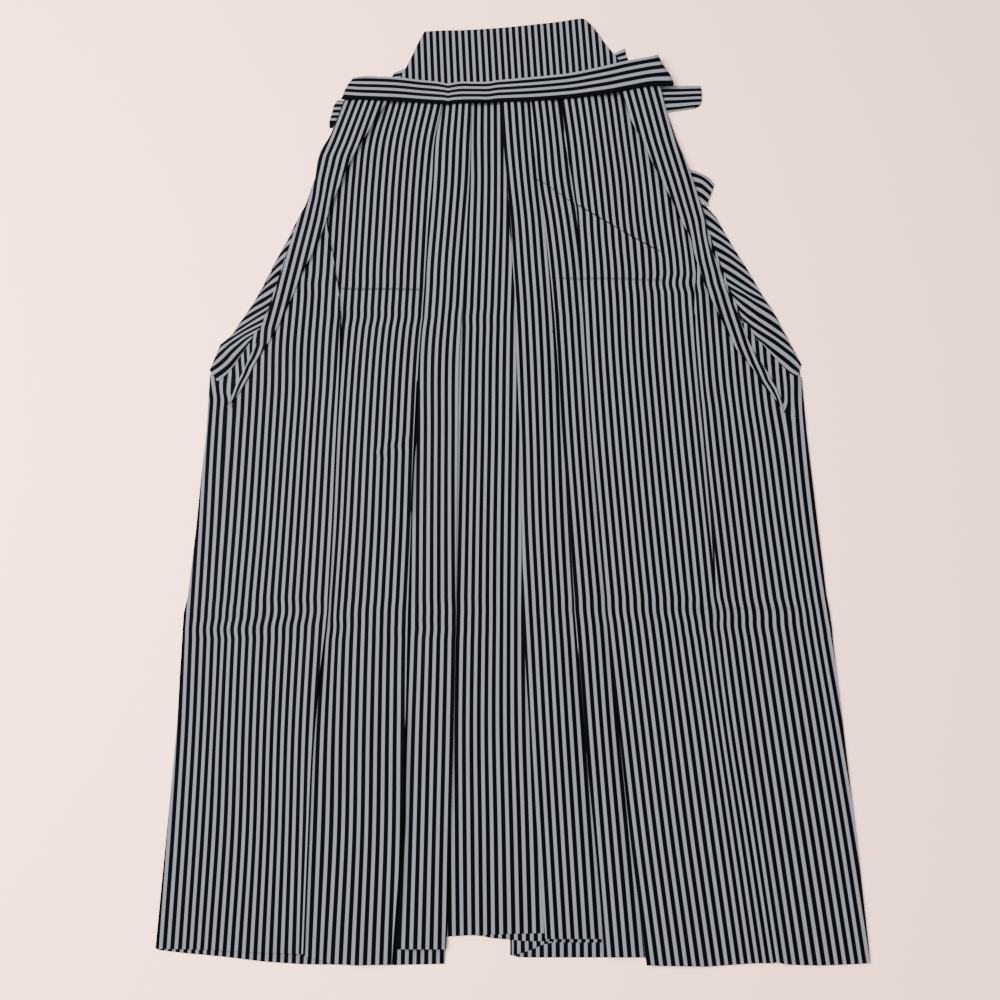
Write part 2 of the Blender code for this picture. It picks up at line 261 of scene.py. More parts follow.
def stripedSilk(name, creased=False):
    # hakama silk, yarn dyed and woven: crisp lengthwise stripes, dull sheen, faint thread streaks
    material, tree = newMaterial(name)
    uv = addNode(tree, "UVMap", {"uv_map": "grain"}).outputs["UV"]
    number, length, _ = addNode(tree, "SeparateXYZ", _0=uv).outputs

    def noise(across, down, detail):
        place = addNode(tree, "VectorMath", {"operation": "MULTIPLY", 1: (across, down, 1)}, _0=uv)
        found = addNode(tree, "TexNoise", {"Scale": 1.0, "Detail": detail}, Vector=place.outputs[0])
        return found.outputs["Fac"]

    # distance from the middle of the nearest light stripe, in repeats
    away = calc(tree, "ABSOLUTE", calc(tree, "WRAP", number, 0.5, -0.5))
    half, soft = silk["lightShare"] / 2, silk["edge"] / 2
    dark = ranged(tree, away, half - soft, half + soft, kind="SMOOTHSTEP")
    streak = noise(silk["repeat"] / silk["streakWide"], 1 / (silk["streakLong"] * mm), 1.0)
    # older and newer batches of yarn: each light stripe a touch warmer or cooler
    batch = noise(silk["batchWide"], 1 / (silk["batchLong"] * mm), 2.0)
    grey = blend(tree, ranged(tree, batch, *silk["batchRange"]), silk["light"], silk["lightWarm"])
    value = ranged(tree, streak, *silk["streakRange"], *silk["streakTone"])
    toned = addNode(tree, "HueSaturation", Color=grey, Value=value).outputs[0]
    stripes = blend(tree, dark, toned, silk["dark"])
    wave = calc(tree, "SINE", calc(tree, "MULTIPLY", length, 2 * math.pi / (silk["rib"] * mm)))
    height = calc(tree, "MULTIPLY_ADD", wave, silk["ribShare"], streak)
    relief = {"Strength": silk["relief"], "Distance": silk["reliefDepth"] * mm}
    bump = addNode(tree, "Bump", relief, Height=height).outputs[0]
    # painted shade beside a fold, where the cloth lies in the dark under the layer above, and on the creases
    beside = addNode(tree, "UVMap", {"uv_map": "shade"}).outputs["UV"]
    lost = addNode(tree, "SeparateXYZ", _0=beside).outputs["X"]
    if creased:
        lost = calc(tree, "MAXIMUM", lost, paintedCreaseShade(tree))
    shaded = blend(tree, lost, stripes, silk["dark"])
    finish = {
        "Roughness": silk["rough"],
        "Sheen Weight": silk["sheen"],
        "Sheen Roughness": silk["sheenRough"],
        "Specular IOR Level": silk["gloss"],
    }
    shader = addNode(tree, "BsdfPrincipled", finish, Normal=bump, **{"Base Color": shaded})
    addNode(tree, "OutputMaterial", _0=shader.outputs[0])
    return material


cloths = {
    "panel_cloth": stripedSilk("wovenSilkPanel", creased=True),
    "band_cloth": stripedSilk("wovenSilkBand"),
}
print("materials made")


heights = (440, 400, 350, 300, 250, 200, 150, 100, 0, -100, -200, -300, -400, -500)
foldEdges = {
    "outerLeft": (-145, -159, -180, -196, -203, -194, -185.5, -183, -183, -183.5, -185.5, -193, -193.5, -193),
    "secondLeft": (-76, -78, -86, -88, -91, -93, -95, -98, -101, -103, -104, -104, -105, -110),
    "firstLeft": (-45, -45, -45, -46, -48, -50, -52, -55, -56, -56, -56, -57, -59, -62),
    "centre": (-11, -10, -8, -4, -1, 2, 5, 6, 9, 11, 12, 17, 24, 31),
    "firstRight": (21, 23, 26, 31, 37, 42, 46, 49, 53.8, 59.4, 64.3, 70, 78, 85),
    "secondRight": (56, 58, 62, 69, 74, 76, 78, 81, 84, 90, 96, 104, 112, 122),
    "outerRight": (128, 140, 158, 178, 193.5, 204.5, 199.5, 198.5, 202, 205.5, 206, 215, 225.5, 235.5),
}
pleats = {
    # the panel on top of each pleat, and the next one in
    "outerLeft": ("A", "B"),
    "secondLeft": ("B", "C"),
    "firstLeft": ("C", "D"),
    "centre": ("E", "D"),
    "firstRight": ("F", "E"),
    "secondRight": ("G", "F"),
    "outerRight": ("H", "G"),
}
legFolds = {
    "left": ("outerLeft", "secondLeft", "firstLeft"),
    "right": ("outerRight", "secondRight", "firstRight", "centre"),
}

# Folds whose turn is painted dark, partly a dark stripe it turns through and partly painted shade,
# with the width of the painted shadow beside them, as (y, mm).
foldPaintedShadow = {
    "outerLeft": ((440, 0.8), (240, 0.8), (228, 0), (130, 0), (120, 0.8), (-500, 0.8)),
    "secondLeft": ((60, 0), (50, 3.6), (20, 4.4), (-10, 2), (-30, 0.8), (-80, 0.8), (-90, 0), (-290, 0),
                   (-310, 1), (-390, 3.2), (-500, 3.2)),
    "firstLeft": ((-425, 0), (-437, 0.8), (-500, 0.8)),
    "centre": ((280, 0), (270, 0.5), (230, 0.5), (220, 0)),
    "firstRight": ((-220, 0), (-230, 0.5), (-320, 0.5), (-330, 0)),
    "secondRight": ((410, 0), (400, 0.5), (365, 0.5), (355, 0)),
    "outerRight": ((440, 0.8), (245, 0.8), (235, 0), (140, 0), (130, 0.8), (-500, 0.8)),
}  # fmt: skip
# Where the light stripe beside a fold is dimmed by painted shade, as (y, share).
foldPaintedDim = {
    "secondLeft": ((0, 0), (-20, 0.25), (-80, 0.25), (-100, 0), (-270, 0), (-290, 0.25), (-500, 0.25)),
}

# Where numbered light stripes of each panel run: x at each of the heights above.
grainLines = {
    "B": {
        0: (-148.5, -157.5, -169, -172.5, -174, -175, -176, -178, -180.5, -181, -183.5, -185, -184, -184),
        2: (-134, -143, -154.5, -158, -159.5, -160.5, -161, -164, -167, -168.5, -171, -170.5, -168.5, -170),
        6: (-108, -115, -124, -127.5, -129, -130.5, -131.5, -135, -138, -139, -141, -140.5, -139, -140),
        10: (-79, -85, -93.5, -97, -99, -100.5, -102, -105.5, -108.5, -109.5, -111.5, -110.5, -109, -110),
    },
    "C": {
        0: (-76, -78.5, -82.5, -84, -86.5, -89.5, -91, -94.5, -93.5, -92.5, -91.5, -92.5, -93, -94),
        4: (-49, -50, -52, -53.5, -56.5, -59.5, -61.5, -64.5, -64.5, -63.5, -62, -62.5, -63.5, -64),
    },
    "D": {
        0: (-42.5, -43, -43.5, -42.5, -43.5, -44.5, -46, -47, -48, -49, -50, -50.5, -49, -47),
        4: (-14, -13.5, -13, -13, -13.5, -15, -16.5, -18, -19, -20.5, -21, -21.5, -19.5, -18),
        7: (8, 8, 8, 8, 7.5, 7, 5.5, 4.5, 3, 1.5, 0.5, 0.5, 3, 5),
    },
    "E": {
        0: (-8, -5.5, -2.5, 1.5, 6, 9, 12, 14, 17, 19, 23.5, 28, 33, 38),
        3: (14.5, 17.5, 20.5, 24, 28.5, 31.5, 34.5, 36.5, 39, 41, 45.5, 50, 55, 60),
        5: (30, 32, 35.5, 39, 43, 46.5, 49, 51.5, 53.5, 56, 60, 65, 70, 75),
    },
    "F": {
        0: (25, 30, 34.5, 38, 44.5, 49.5, 53, 55.5, 59.5, 65, 71, 76.5, 82.5, 89),
        3: (48, 52.5, 57, 61, 67.5, 72.5, 75.5, 77.5, 81.5, 87, 93.5, 98.5, 105, 111.5),
    },
    "G": {
        0: (59, 64, 69.5, 73.5, 78, 80.5, 82, 83.5, 87.5, 93.5, 100, 108.5, 117.5, 128),
        7: (113, 118, 122.5, 127, 129.5, 133.5, 135, 135.5, 140, 145.5, 152.5, 161.5, 170.5, 181),
        11: (143, 148, 152.5, 156.5, 160, 164.5, 165, 166, 170, 176, 182, 192, 201.5, 211),
        14: (166, 171, 175.5, 179.5, 183, 187, 187, 188.5, 193, 198.5, 203.5, 211, 221.5, 231.5),
        15: (173, 178, 182.5, 186, 189.5, 193.5, 194.5, 195.5, 199.5, 204, 210, 217.5, 228, 238),
    },
}
# The outer panels show only below the side folds, so theirs start lower.
outerHeights = (265, 200, 150, 100, 50, 30, 0, -100, -200, -300, -400, -500)
outerLines = {
    "A": {
        -1: (-181, -182, -183.5, -183.5, -184.5, -185, -185.5, -186, -187.5, -189, -189.5, -189.5),
        0: (-188.5, -189, -189, -190.5, -191, -191.5, -192, -193, -194.5, -196, -195, -194.5),
        1: (-195.5, -196, -197, -198, -198.5, -199, -199.5, -200.5, -202, -203, -201, -199),
        6: (-234, -234.5, -234.5, -236, -234.5, -234.5, -235, -236.5, -238, -237.5, -235, -234.5),
        9: (-257, -257, -257.5, -258.5, -257, -257, -257, -257.5, -260, -258.5, -255.5, -256),
        13: (-287, -287, -288, -288.5, -288, -287.5, -287.5, -287.5, -288.5, -286.5, -284, -284.5),
        13.8: (-294.5, -294.5, -295.5, -296, -295.5, -294.5, -294, -293.5, -293.5, -291, -289.5, -289.5),
        14.2: (-297.5, -297.5, -298.5, -299, -298.5, -299.5, -299, -297.5, -296.5, -294, -292.5, -292.5),
        16: (-311, -311, -312, -313, -313, -313, -313, -311, -309.5, -306.5, -305, -304.5),
        19: (-333, -333, -334, -335, -335, -335, -335, -333, -331.5, -328, -326.5, -326),
    },
    "H": {
        -1: (192, 193.5, 194.5, 195.5, 197, 198, 199.5, 204, 210, 217.5, 228, 238),
        0: (200, 200.5, 200, 201, 202.5, 203.5, 204.5, 210, 217, 225, 234.5, 244),
        1: (205, 205.5, 206, 207, 208.5, 210, 211.5, 217.5, 224.5, 232.5, 241.5, 251),
        3: (219, 220, 221, 222, 223.5, 225, 226.5, 232.5, 239.5, 248, 257, 266),
        6: (240, 241.5, 243.5, 244.5, 246, 247, 249.5, 255.5, 263, 271.5, 281, 290),
        9: (262, 263.5, 266, 267.5, 268.5, 269.5, 272, 278.5, 286.5, 295.5, 304.5, 313),
        11: (279, 280, 281, 282, 284, 285.5, 288.5, 293.5, 301, 310.5, 319.5, 327.5),
        12: (288, 289, 290, 291, 298, 298, 297.5, 300.5, 308, 317.5, 327, 335),
        13: (296, 297, 298, 299, 306.5, 305.5, 305.5, 308.5, 315.5, 325, 334, 342),
    },
}
# At the foot of each side opening the stripes lean: x at each of these heights.
footHeights = (115, 100, 85, 70, 55, 40, 30, 20)
footLines = {
    "left": {
        9: (-268, -269, -268, -265, -262, -258, -257, -257),
        10: (-275, -276, -275, -272, -269, -266, -265, -264.5),
        11: (-282, -282, -280.5, -279, -276, -274, -272.5, -272.5),
        12: (-288.5, -288.5, -287, -285, -283.5, -281.5, -280, -280),
        13: (-295, -294.5, -293.5, -291.5, -290, -289, -288, -287.5),
        14: (-301, -301, -300.5, -299.5, -300, -299.5, -297, -297),
        15: (-307, -307, -307, -307, -308, -306, -305, -305),
        16: (-318, -318, -319, -319.5, -316, -313.5, -313, -313),
        17: (-326, -326, -327, -327, -325, -321.5, -320.5, -320.5),
    },
    "right": {
        6: (253, 252.5, 253, 253, 253, 252, 250, 248),
        7: (260.5, 260.5, 261, 261, 261, 260, 257, 255.5),
        8: (268, 268, 268.5, 269, 269, 268, 265, 263),
        9: (276, 276, 275.5, 276, 276.5, 276, 272.5, 271),
        10: (284.5, 284.5, 284.5, 284, 284, 284, 281, 279.5),
        11: (291, 291, 291, 291, 291.5, 291, 290, 288.5),
        12: (299, 299, 299, 298.5, 298.5, 297.5, 297.5, 297.5),
        13: (308, 308, 308, 308, 307, 306, 305.5, 305.5),
        14: (316, 316, 316, 316, 315, 314, 313.5, 313),
    },
}

# Outer edge of the front as (y, x). Below the side opening it is the side seam.
frontEdge = {
    "left": (
        (440, -176), (400, -191), (350, -207), (333, -215), (300, -220), (250, -234), (200, -249),
        (150, -261), (120, -270), (110, -281), (100, -292), (90, -302), (80, -311), (72, -318),
        (66, -321), (50, -320.5), (0, -320), (-50, -322), (-100, -323), (-170, -326), (-188, -329),
        (-250, -328), (-300, -327), (-400, -329), (-500, -331),
    ),
    "right": (
        (440, 166), (400, 176), (350, 189), (300, 204), (250, 215), (200, 229), (150, 244),
        (128, 251), (120, 262), (110, 272), (100, 280), (90, 289), (80, 298), (70, 305), (64, 309.5),
        (50, 309.5), (0, 310), (-50, 312), (-100, 314), (-170, 317), (-188, 319), (-250, 321),
        (-300, 323), (-400, 327), (-500, 330),
    ),
}  # fmt: skip
# The same edge without its foot: the solid's own edge, which the rise over the sides is measured from.
openingEdge = {
    "left": ((440, -176), (333, -215), (250, -234), (150, -261), (50, -293), (29, -320), (-500, -331)),
    "right": ((440, 166), (300, 204), (200, 229), (100, 261), (25, 289), (18, 309), (-500, 330)),
}
# Hem of each panel as (x, y), and of the pleat's underlay beneath it.
hems = {
    "A": ((-331, -499.5), (-292, -500), (-266, -501.5), (-240, -502.5), (-195, -504)),
    "B": ((-194, -505), (-190, -507), (-175, -510), (-165, -512), (-146, -514), (-109, -513)),
    "C": ((-110, -500), (-62, -500)),
    "D": ((-61, -489), (-30, -487.5), (-12, -487), (0, -486.5), (31, -486), (61, -489)),
    "E": ((31, -491), (85, -491)),
    "F": ((85, -507), (122, -507)),
    "G": ((123, -514), (177, -515), (206, -513), (221, -512), (234, -512)),
    "H": ((234, -512), (243, -511), (250, -513), (279, -514), (309, -513), (330, -512)),
}
underHem = {
    "outerLeft": -503,
    "secondLeft": -498,
    "firstLeft": -489,
    "centre": -490,
    "firstRight": -488,
    "secondRight": -504,
    "outerRight": -511,
}

leg = {
    "frontLevel": 2.0,  # mid height of the lowest front layer
    "footLevel": 1.45,  # and of the foot of the side opening, where the turned side lies on it
    "waist": 415.5,  # the waist line's height at x 0, and its slope
    "waistSlope": 0.06,
    "top": 385.0,  # level rows run from here down to low, and slanted ones on to waist and hem
    "low": -470.0,
    "hem": -500,
    "topShares": (1.0, 0.7, 0.4, 0.15),
    "hemShares": (0.25, 0.45, 0.6, 0.72, 0.82, 0.9, 0.95, 0.985, 1.0),
    "rowStep": 7,
    "fineStep": 2.5,
    "fineRows": ((150, 42), (-190, 32), (70, 60)),  # heights with creases or an opening's foot, and reach
    "pleatMost": 30,  # mm, depth of a pleat, which is also at most a share of its panel
    "outerMost": 8,
    "pleatShare": 0.5,
    "narrowShare": 0.4,  # of secondRight
    "rampMost": 45,  # a panel climbs on to the next pleat within this width
    "outerRamp": 12,
    "rampGap": 1,  # mm left level on both sides of a climb
    "footSteps": 6,  # points across the foot, and then the outer panel, an inner one, a climb,
    "outerSteps": 14,  # the top of a pleat, the turns of its upper and under fold
    "panelSteps": 4,
    "climbSteps": 8,
    "pleatSteps": 6,
    "foldSteps": 6,
    "innerSteps": 4,
    "underShares": (0.33, 0.66),  # and where two lie between those folds
    "footPast": 2,  # mm past the opening's edge that the foot's points run
    "beforeFold": 0.25,  # mm kept clear of points before a fold
    "beforeUnder": 0.05,
    "footRamp": (0.5, 6),  # mm past that edge, over which the front sinks to the foot's level
    "ridgePast": 3,  # mm past the opening's edge where ridges end
    "rise": (36, 62, 60, 100),  # full and none this far in from the edge, and between these heights
}
# Painted shadow beside a fold: its least full width, soft edge, and the stripe dimmed after it, in mm.
paintedFoldShadow = {"least": 0.4, "soft": 0.3, "dimmed": 3.4, "fade": 0.5, "close": 0.02}
# Storage creases: where each shifts the stripes sideways, for x from left to right.
creaseX = (-330, -302, -280, -258, -237, -216, -193, -176, -155, -110, -92, -50, 0, 60, 96, 119, 141, 164,
           186, 206, 229, 252, 275, 297, 330)  # fmt: skip
creaseShifts = (
    {"y": 173, "half": 13, "shift": (0, 0, 0, 0, 0, -0.8, 0, 0.2, 0.3, 0.1, 0.1, 0, 0, 0, -0.3, -0.4, -0.6,
                                     -1.4, -2.2, -1, -1, 0, 0, 0, 0)},
    {"y": 133, "half": 13, "shift": (0, 0, 0, 0, 0, 0, 0.3, 0.6, 0.8, 0.6, 0.4, -0.6, -0.2, 0.2, 0, 0, 0,
                                     0, 0, 0, 0, 0, 0, 0, 0)},
    {"y": -186, "half": 15, "shift": (0, -0.4, -0.6, 0.4, 1.3, 1.3, 0.9, -0.2, -0.4, -0.4, 0.4, 0.4, 0, -0.4,
                                      -0.6, -0.8, -0.8, -1, -1.4, 1.3, 0.6, 0.9, 1, 0.3, 0)},
    {"y": -203, "half": 12, "shift": (0, -1.2, -1.7, -1, -0.5, -0.3, 0, 0.8, 0, -0.4, 0.7, 0.3, 0, -0.2, 0,
                                      -0.2, -0.2, -0.2, -0.6, -0.3, -0.5, -0.4, -0.1, 0, 0.6)},
)  # fmt: skip
# And one that runs aslant: its ends, half width, shift, and how far it fades out at both ends.
slantCrease = {"x0": -104, "y0": -6, "x1": -147, "y1": -22, "half": 8, "shift": -0.8, "fade": (6, 8)}
# Below a sharp crease the stripes start a little to the side and come back: its ends, that shift,
# how far down they are back and how fast, the fading at its ends and the half width of the step.
stepCrease = {
    "x0": 60, "y0": 279, "x1": 170, "y1": 205, "shift": 1.1, "back": 26, "fall": 1.5, "fade": (20, 12),
    "soft": 1.5,
}  # fmt: skip
# Creases and soft waves as ridges between two ends, with their height and half width.
ridgeColumns = ("x0", "y0", "x1", "y1", "high", "half")
ridges = (
    (-215, 166, -60, 164, 0.75, 8),
    (-60, 164, 90, 166, 0.45, 7),
    (90, 166, 230, 176, 0.8, 8),
    (-190, 131, -40, 133, -0.5, 6),
    (-40, 133, 60, 140, -0.3, 6),
    (-330, -180, -200, -194, 0.9, 7),
    (-200, -192, -40, -186, 0.55, 7),
    (-40, -184, 120, -180, 0.45, 7),
    (120, -182, 320, -180, 0.9, 8),
    (-330, -196, -190, -206, -0.4, 7),
    (190, -200, 320, -198, -0.35, 7),
    (22, 306, 72, 269, 0.7, 5),
    (72, 269, 121, 235, 0.9, 6),
    (121, 235, 206, 183, 0.7, 7),
    (-104, -6, -147, -22, 0.8, 5),
    (-208, 246, -185, 150, 0.5, 7),
    (195, -160, 224, -196, 0.7, 10),
    (-290, 20, -262, -140, 0.5, 16),
    (262, 30, 292, -120, 0.5, 18),
    (-150, 60, -140, -60, 0.35, 22),
    (150, 90, 158, -70, 0.4, 24),
    (-245, -260, -238, -420, 0.4, 20),
    (170, -260, 205, -430, 0.4, 22),
)
# How far a ridge reaches and fades in at its ends, in half widths, how steep it is and how it wavers.
ridgeForm = {"reach": 2.5, "ends": 2, "steep": 1.2, "waver": 0.2, "waveLength": 17}


def waistAt(x):
    return leg["waist"] + leg["waistSlope"] * x


def foldAt(name, y):
    return curve(heights, foldEdges[name], y)


@functools.lru_cache(maxsize=None)
def linesAt(panel, y):
    # x of a panel's numbered stripes at height y, from left to right
    if panel in grainLines:
        table, ys = grainLines[panel], heights
    elif panel in outerLines:
        table, ys = outerLines[panel], outerHeights
    else:
        table, ys = footLines[panel], footHeights
    rows = sorted((curve(ys, xs, y), number) for number, xs in table.items())
    return [r[0] for r in rows], [r[1] for r in rows]


def stripeAt(panel, x, y):
    # stripe count at (x, y): whole on the middle of a light stripe
    xs, numbers = linesAt(panel, round(y, 2))
    i = int(np.clip(np.searchsorted(xs, x) - 1, 0, len(xs) - 2))
    return numbers[i] + (numbers[i + 1] - numbers[i]) * (x - xs[i]) / (xs[i + 1] - xs[i])


def lineAt(c, x):
    # height of a crease's straight line at x
    return c["y0"] + (c["y1"] - c["y0"]) * (x - c["x0"]) / (c["x1"] - c["x0"])


def shiftAt(x, y):
    total = 0.0
    for crease in creaseShifts:
        near = abs(y - crease["y"]) / crease["half"]
        if near < 1:
            total += float(np.interp(x, creaseX, crease["shift"])) * (1 - near * near) ** 2
    c = slantCrease
    if c["x1"] < x < c["x0"]:
        near = abs(y - lineAt(c, x)) / c["half"]
        if near < 1:
            ends = smooth(c["x0"] - x, 0, c["fade"][0]) * smooth(x - c["x1"], 0, c["fade"][1])
            total += c["shift"] * ends * (1 - near * near) ** 2
    c = stepCrease
    below = lineAt(c, x) - y
    if c["x0"] < x < c["x1"] and -c["soft"] < below < c["back"]:
        ends = smooth(x, c["x0"], c["x0"] + c["fade"][0]) * smooth(c["x1"] - x, 0, c["fade"][1])
        left = (1 - max(below, 0) / c["back"]) ** c["fall"]
        total += c["shift"] * ends * smooth(below, -c["soft"], c["soft"]) * left
    return total


def ridgeAt(x, y):
    total = 0.0
    waver = ridgeForm["waver"]
    for values in ridges:
        r = dict(zip(ridgeColumns, values))
        dx, dy = r["x1"] - r["x0"], r["y1"] - r["y0"]
        length = math.hypot(dx, dy)
        t = ((x - r["x0"]) * dx + (y - r["y0"]) * dy) / length
        off = abs((x - r["x0"]) * dy - (y - r["y0"]) * dx) / length
        fade = ridgeForm["ends"] * r["half"]
        if off < ridgeForm["reach"] * r["half"] and -fade < t < length + fade:
            ends = smooth(t, -fade, fade) * (1 - smooth(t, length - fade, length + fade))
            uneven = 1 - waver + waver * math.sin(t / ridgeForm["waveLength"] + r["x0"])
            total += r["high"] * ends * uneven * math.exp(-((off / r["half"]) ** 2) * ridgeForm["steep"])
    return total


def riseAt(side, x, y):
    # the front lies on the turned sides of the back
    inside = abs(along(openingEdge[side], y) - x)
    full, none, low, high = leg["rise"]
    return silk["layer"] * (1 - smooth(inside, full, none)) * smooth(y, low, high)


def climb(name, cameOut, edge):
    # where a pleat's under fold lies, and where its panel starts to climb on to it and is up
    outer = name in ("outerLeft", "outerRight")
    share = leg["narrowShare" if name == "secondRight" else "pleatShare"]
    inner = edge - min(share * (edge - cameOut), leg["outerMost" if outer else "pleatMost"])
    end = inner - leg["rampGap"]
    start = max(cameOut + leg["rampGap"], end - leg["outerRamp" if outer else "rampMost"])
    return inner, start, end


def levelAt(side, x, y):
    # level of the top layer of a front leg: 0 on the lowest layer, 2 on top of a pleat
    s = x * inward[side]
    cameOut = along(openingEdge[side], y) * inward[side]
    for name in legFolds[side]:
        edge = foldAt(name, y) * inward[side]
        if s <= edge:
            _, start, end = climb(name, cameOut, edge)
            return 2 * smooth(s, start, end)
        cameOut = edge
    return 0.0


def turn(edge, low, high, outwards, steps):
    # (across, level) round a fold whose outside reaches edge, from the high level to the low one
    radius = (high - low) * silk["layer"] / 2
    middle = edge - outwards * (radius + silk["thick"] / 2)
    points = []
    for i in range(steps + 1):
        angle = math.pi * i / steps
        level = (low + high) / 2 + math.cos(angle) * (high - low) / 2
        points.append((middle + outwards * radius * math.sin(angle), level))
    return points


def paintedShadowBeside(name, y):
    # width of the painted shadow beside a fold, and the share of painted shade on the stripe after it
    return [along(table[name], y) if name in table else 0.0 for table in (foldPaintedShadow, foldPaintedDim)]


def paintedShadeAt(distance, gap, dim):
    # share of painted shade at a distance from the fold
    full = smooth(gap, 0.0, paintedFoldShadow["least"])
    if distance <= gap + paintedFoldShadow["close"] / 2:
        return full
    if distance < gap + paintedFoldShadow["soft"]:
        return dim + (1 - dim) * full * (1 - (distance - gap) / paintedFoldShadow["soft"])
    end = gap + paintedFoldShadow["dimmed"]
    return dim * (1 - smooth(distance, end, end + paintedFoldShadow["fade"]))


def legSection(side, y):
    # one front leg's cloth at height y, from its outer edge in: (x, level, panel, stripe, hem, painted shade)
    inwards = inward[side]
    edgeX = along(frontEdge[side], y) * inwards
    cameOut = max(edgeX, along(openingEdge[side], y) * inwards) if y > 0 else edgeX
    close, soft, dimmed, fade = (paintedFoldShadow[k] for k in ("close", "soft", "dimmed", "fade"))
    radius = silk["layer"] / 2
    rows = []

    def add(s, level, panel, stripe=None, hem=None, lost=0.0):
        x = s * inwards
        if stripe is None:
            stripe = stripeAt(panel, x, y)
        rows.append((x, level, panel, stripe, hem, lost))

    start = cameOut + leg["footPast"]
    for i in range(leg["footSteps"]):  # the foot, or the first few millimetres
        add(edgeX + (start - edgeX) * (i / leg["footSteps"]), 0.0, pleats[legFolds[side][0]][0])
    gap, dim = 0.0, 0.0
    for name in legFolds[side]:
        edge = foldAt(name, y) * inwards
        inner, climbStart, climbEnd = climb(name, cameOut, edge)
        outer = name == legFolds[side][0]
        panel, nextPanel = pleats[name]
        # the fold's turn is painted dark, partly the dark stripe it turns through and partly painted shade
        turned = smooth(paintedShadowBeside(name, y)[0], 0.0, paintedFoldShadow["least"])
        last = edge - silk["layer"] / 2 - silk["thick"] / 2
        count = leg["outerSteps" if outer else "panelSteps"]
        spots = list(np.linspace(start, climbStart, count, endpoint=False))
        spots += list(np.linspace(climbStart, climbEnd, leg["climbSteps"], endpoint=False))
        spots += list(np.linspace(climbEnd, last - leg["beforeFold"], leg["pleatSteps"]))
        if not outer:
            # points where the painted shadow and painted dimming beside the fold before start and end
            near = (close, gap, gap + soft, gap + dimmed, gap + dimmed + fade)
            spots += [min(start + d, last - soft) for d in near]
        for s in sorted(spots):
            lost = 0.0 if outer else paintedShadeAt(s - start, gap, dim)
            add(s, 2 * smooth(s, climbStart, climbEnd), panel, lost=lost)
        atEdge = stripeAt(panel, last * inwards, y)
        xs, numbers = linesAt(panel, round(y, 2))
        way = abs((numbers[-1] - numbers[0]) / (xs[-1] - xs[0])) * inwards
        under = underHem[name]
        for k, (s, level) in enumerate(turn(edge, 1, 2, 1, leg["foldSteps"])):
            arc = radius * math.pi * k / leg["foldSteps"]
            add(s, level, panel, atEdge + way * arc, under if 2 * k >= leg["foldSteps"] else None, turned)
        arc = radius * math.pi
        for share in leg["underShares"]:
            stripe = atEdge + way * (arc + (last - inner) * share)
            add(last + (inner - last) * share, 1.0, panel, stripe, under)
        if name == "centre":
            add(inner, 1.0, panel, atEdge + way * (arc + last - inner), under)
            break
        for k, (s, level) in enumerate(turn(inner, 0, 1, -1, leg["innerSteps"])):
            x = (inner - radius * math.pi * (1 - k / leg["innerSteps"])) * inwards
            add(s, level, nextPanel, stripeAt(nextPanel, x, y), under)
        gap, dim = paintedShadowBeside(name, y)
        add((inner + edge) / 2, 0.0, nextPanel)
        add(edge - leg["beforeUnder"], 0.0, nextPanel, lost=paintedShadeAt(0, gap, dim))
        cameOut = start = edge
    if side == "left":
        centre = foldAt("centre", y)
        before = paintedShadowBeside("centre", y)[0]
        spots = list(np.linspace(start, centre, leg["outerSteps"]))
        spots += [start + d for d in (close, gap, gap + soft)] + [centre - before - soft, centre - before]
        # painted shade beside the fold before it and beside the centre fold
        for x in sorted(spots):
            add(x, 0.0, "D", lost=max(paintedShadeAt(x - start, gap, dim), paintedShadeAt(centre - x, before, 0.0)))
        depth = min(leg["pleatShare"] * (foldAt("firstRight", y) - centre), leg["pleatMost"])
        for share in (*leg["underShares"], 1.0):
            add(centre + depth * share, 0.0, "D")
    return rows


def rowHeights():
    # common heights, closer together where the cloth is creased
    ys = []
    y = leg["top"]
    while y > leg["low"] + 2:
        ys.append(y)
        close = any(abs(y - at) < reach for at, reach in leg["fineRows"])
        y -= leg["fineStep"] if close else leg["rowStep"]
    return ys + [leg["low"]]


def legPiece(side):
    inwards = inward[side]
    top, low = leg["top"], leg["low"]
    tops = [waistAt(p[0]) for p in legSection(side, leg["waist"])]
    lowest = legSection(side, leg["hem"])
    ends = [along(hems[panel], x) if hem is None else hem for x, _, panel, _, hem, _ in lowest]
    sections = [[top + (y - top) * share for y in tops] for share in leg["topShares"]]
    sections += [[y] * len(tops) for y in rowHeights()]
    sections += [[low + (y - low) * share for y in ends] for share in leg["hemShares"]]
    tip, footTop = sideFold["tip"][side], sideFold["footTop"]
    leanLow, leanTop = tip - sideFold["leanFrom"], tip + sideFold["leanTo"]
    rows = []
    for ys in sections:
        found = {}
        row = []
        for i, y in enumerate(ys):
            if y not in found:
                found[y] = legSection(side, y)
            x, level, _, stripe, _, lost = found[y][i]
            outside = (along(openingEdge[side], y) - x) * inwards
            z = leg["frontLevel"] + level * silk["layer"] + riseAt(side, x, y)
            if leanLow < y < footTop and (along(sideFoldMiddle[side], y) - x) * inwards > 0:
                stripe += (stripeAt(side, x, y) - stripe) * smooth(y, leanLow, leanTop)
            if sideFold["footLow"] < y < footTop:
                z += (leg["footLevel"] - z) * smooth(outside, *leg["footRamp"])
            if outside < leg["ridgePast"]:
                z += ridgeAt(x, y)
            row.append((x + shiftAt(x, y), y, z, stripe, y * mm, lost))
        rows.append(row)
    name = "front" + side.capitalize() + "Leg"
    return clothPiece(name, rows, silk["thick"], "panel_cloth", ["front_leg_" + side], flip=side == "right")


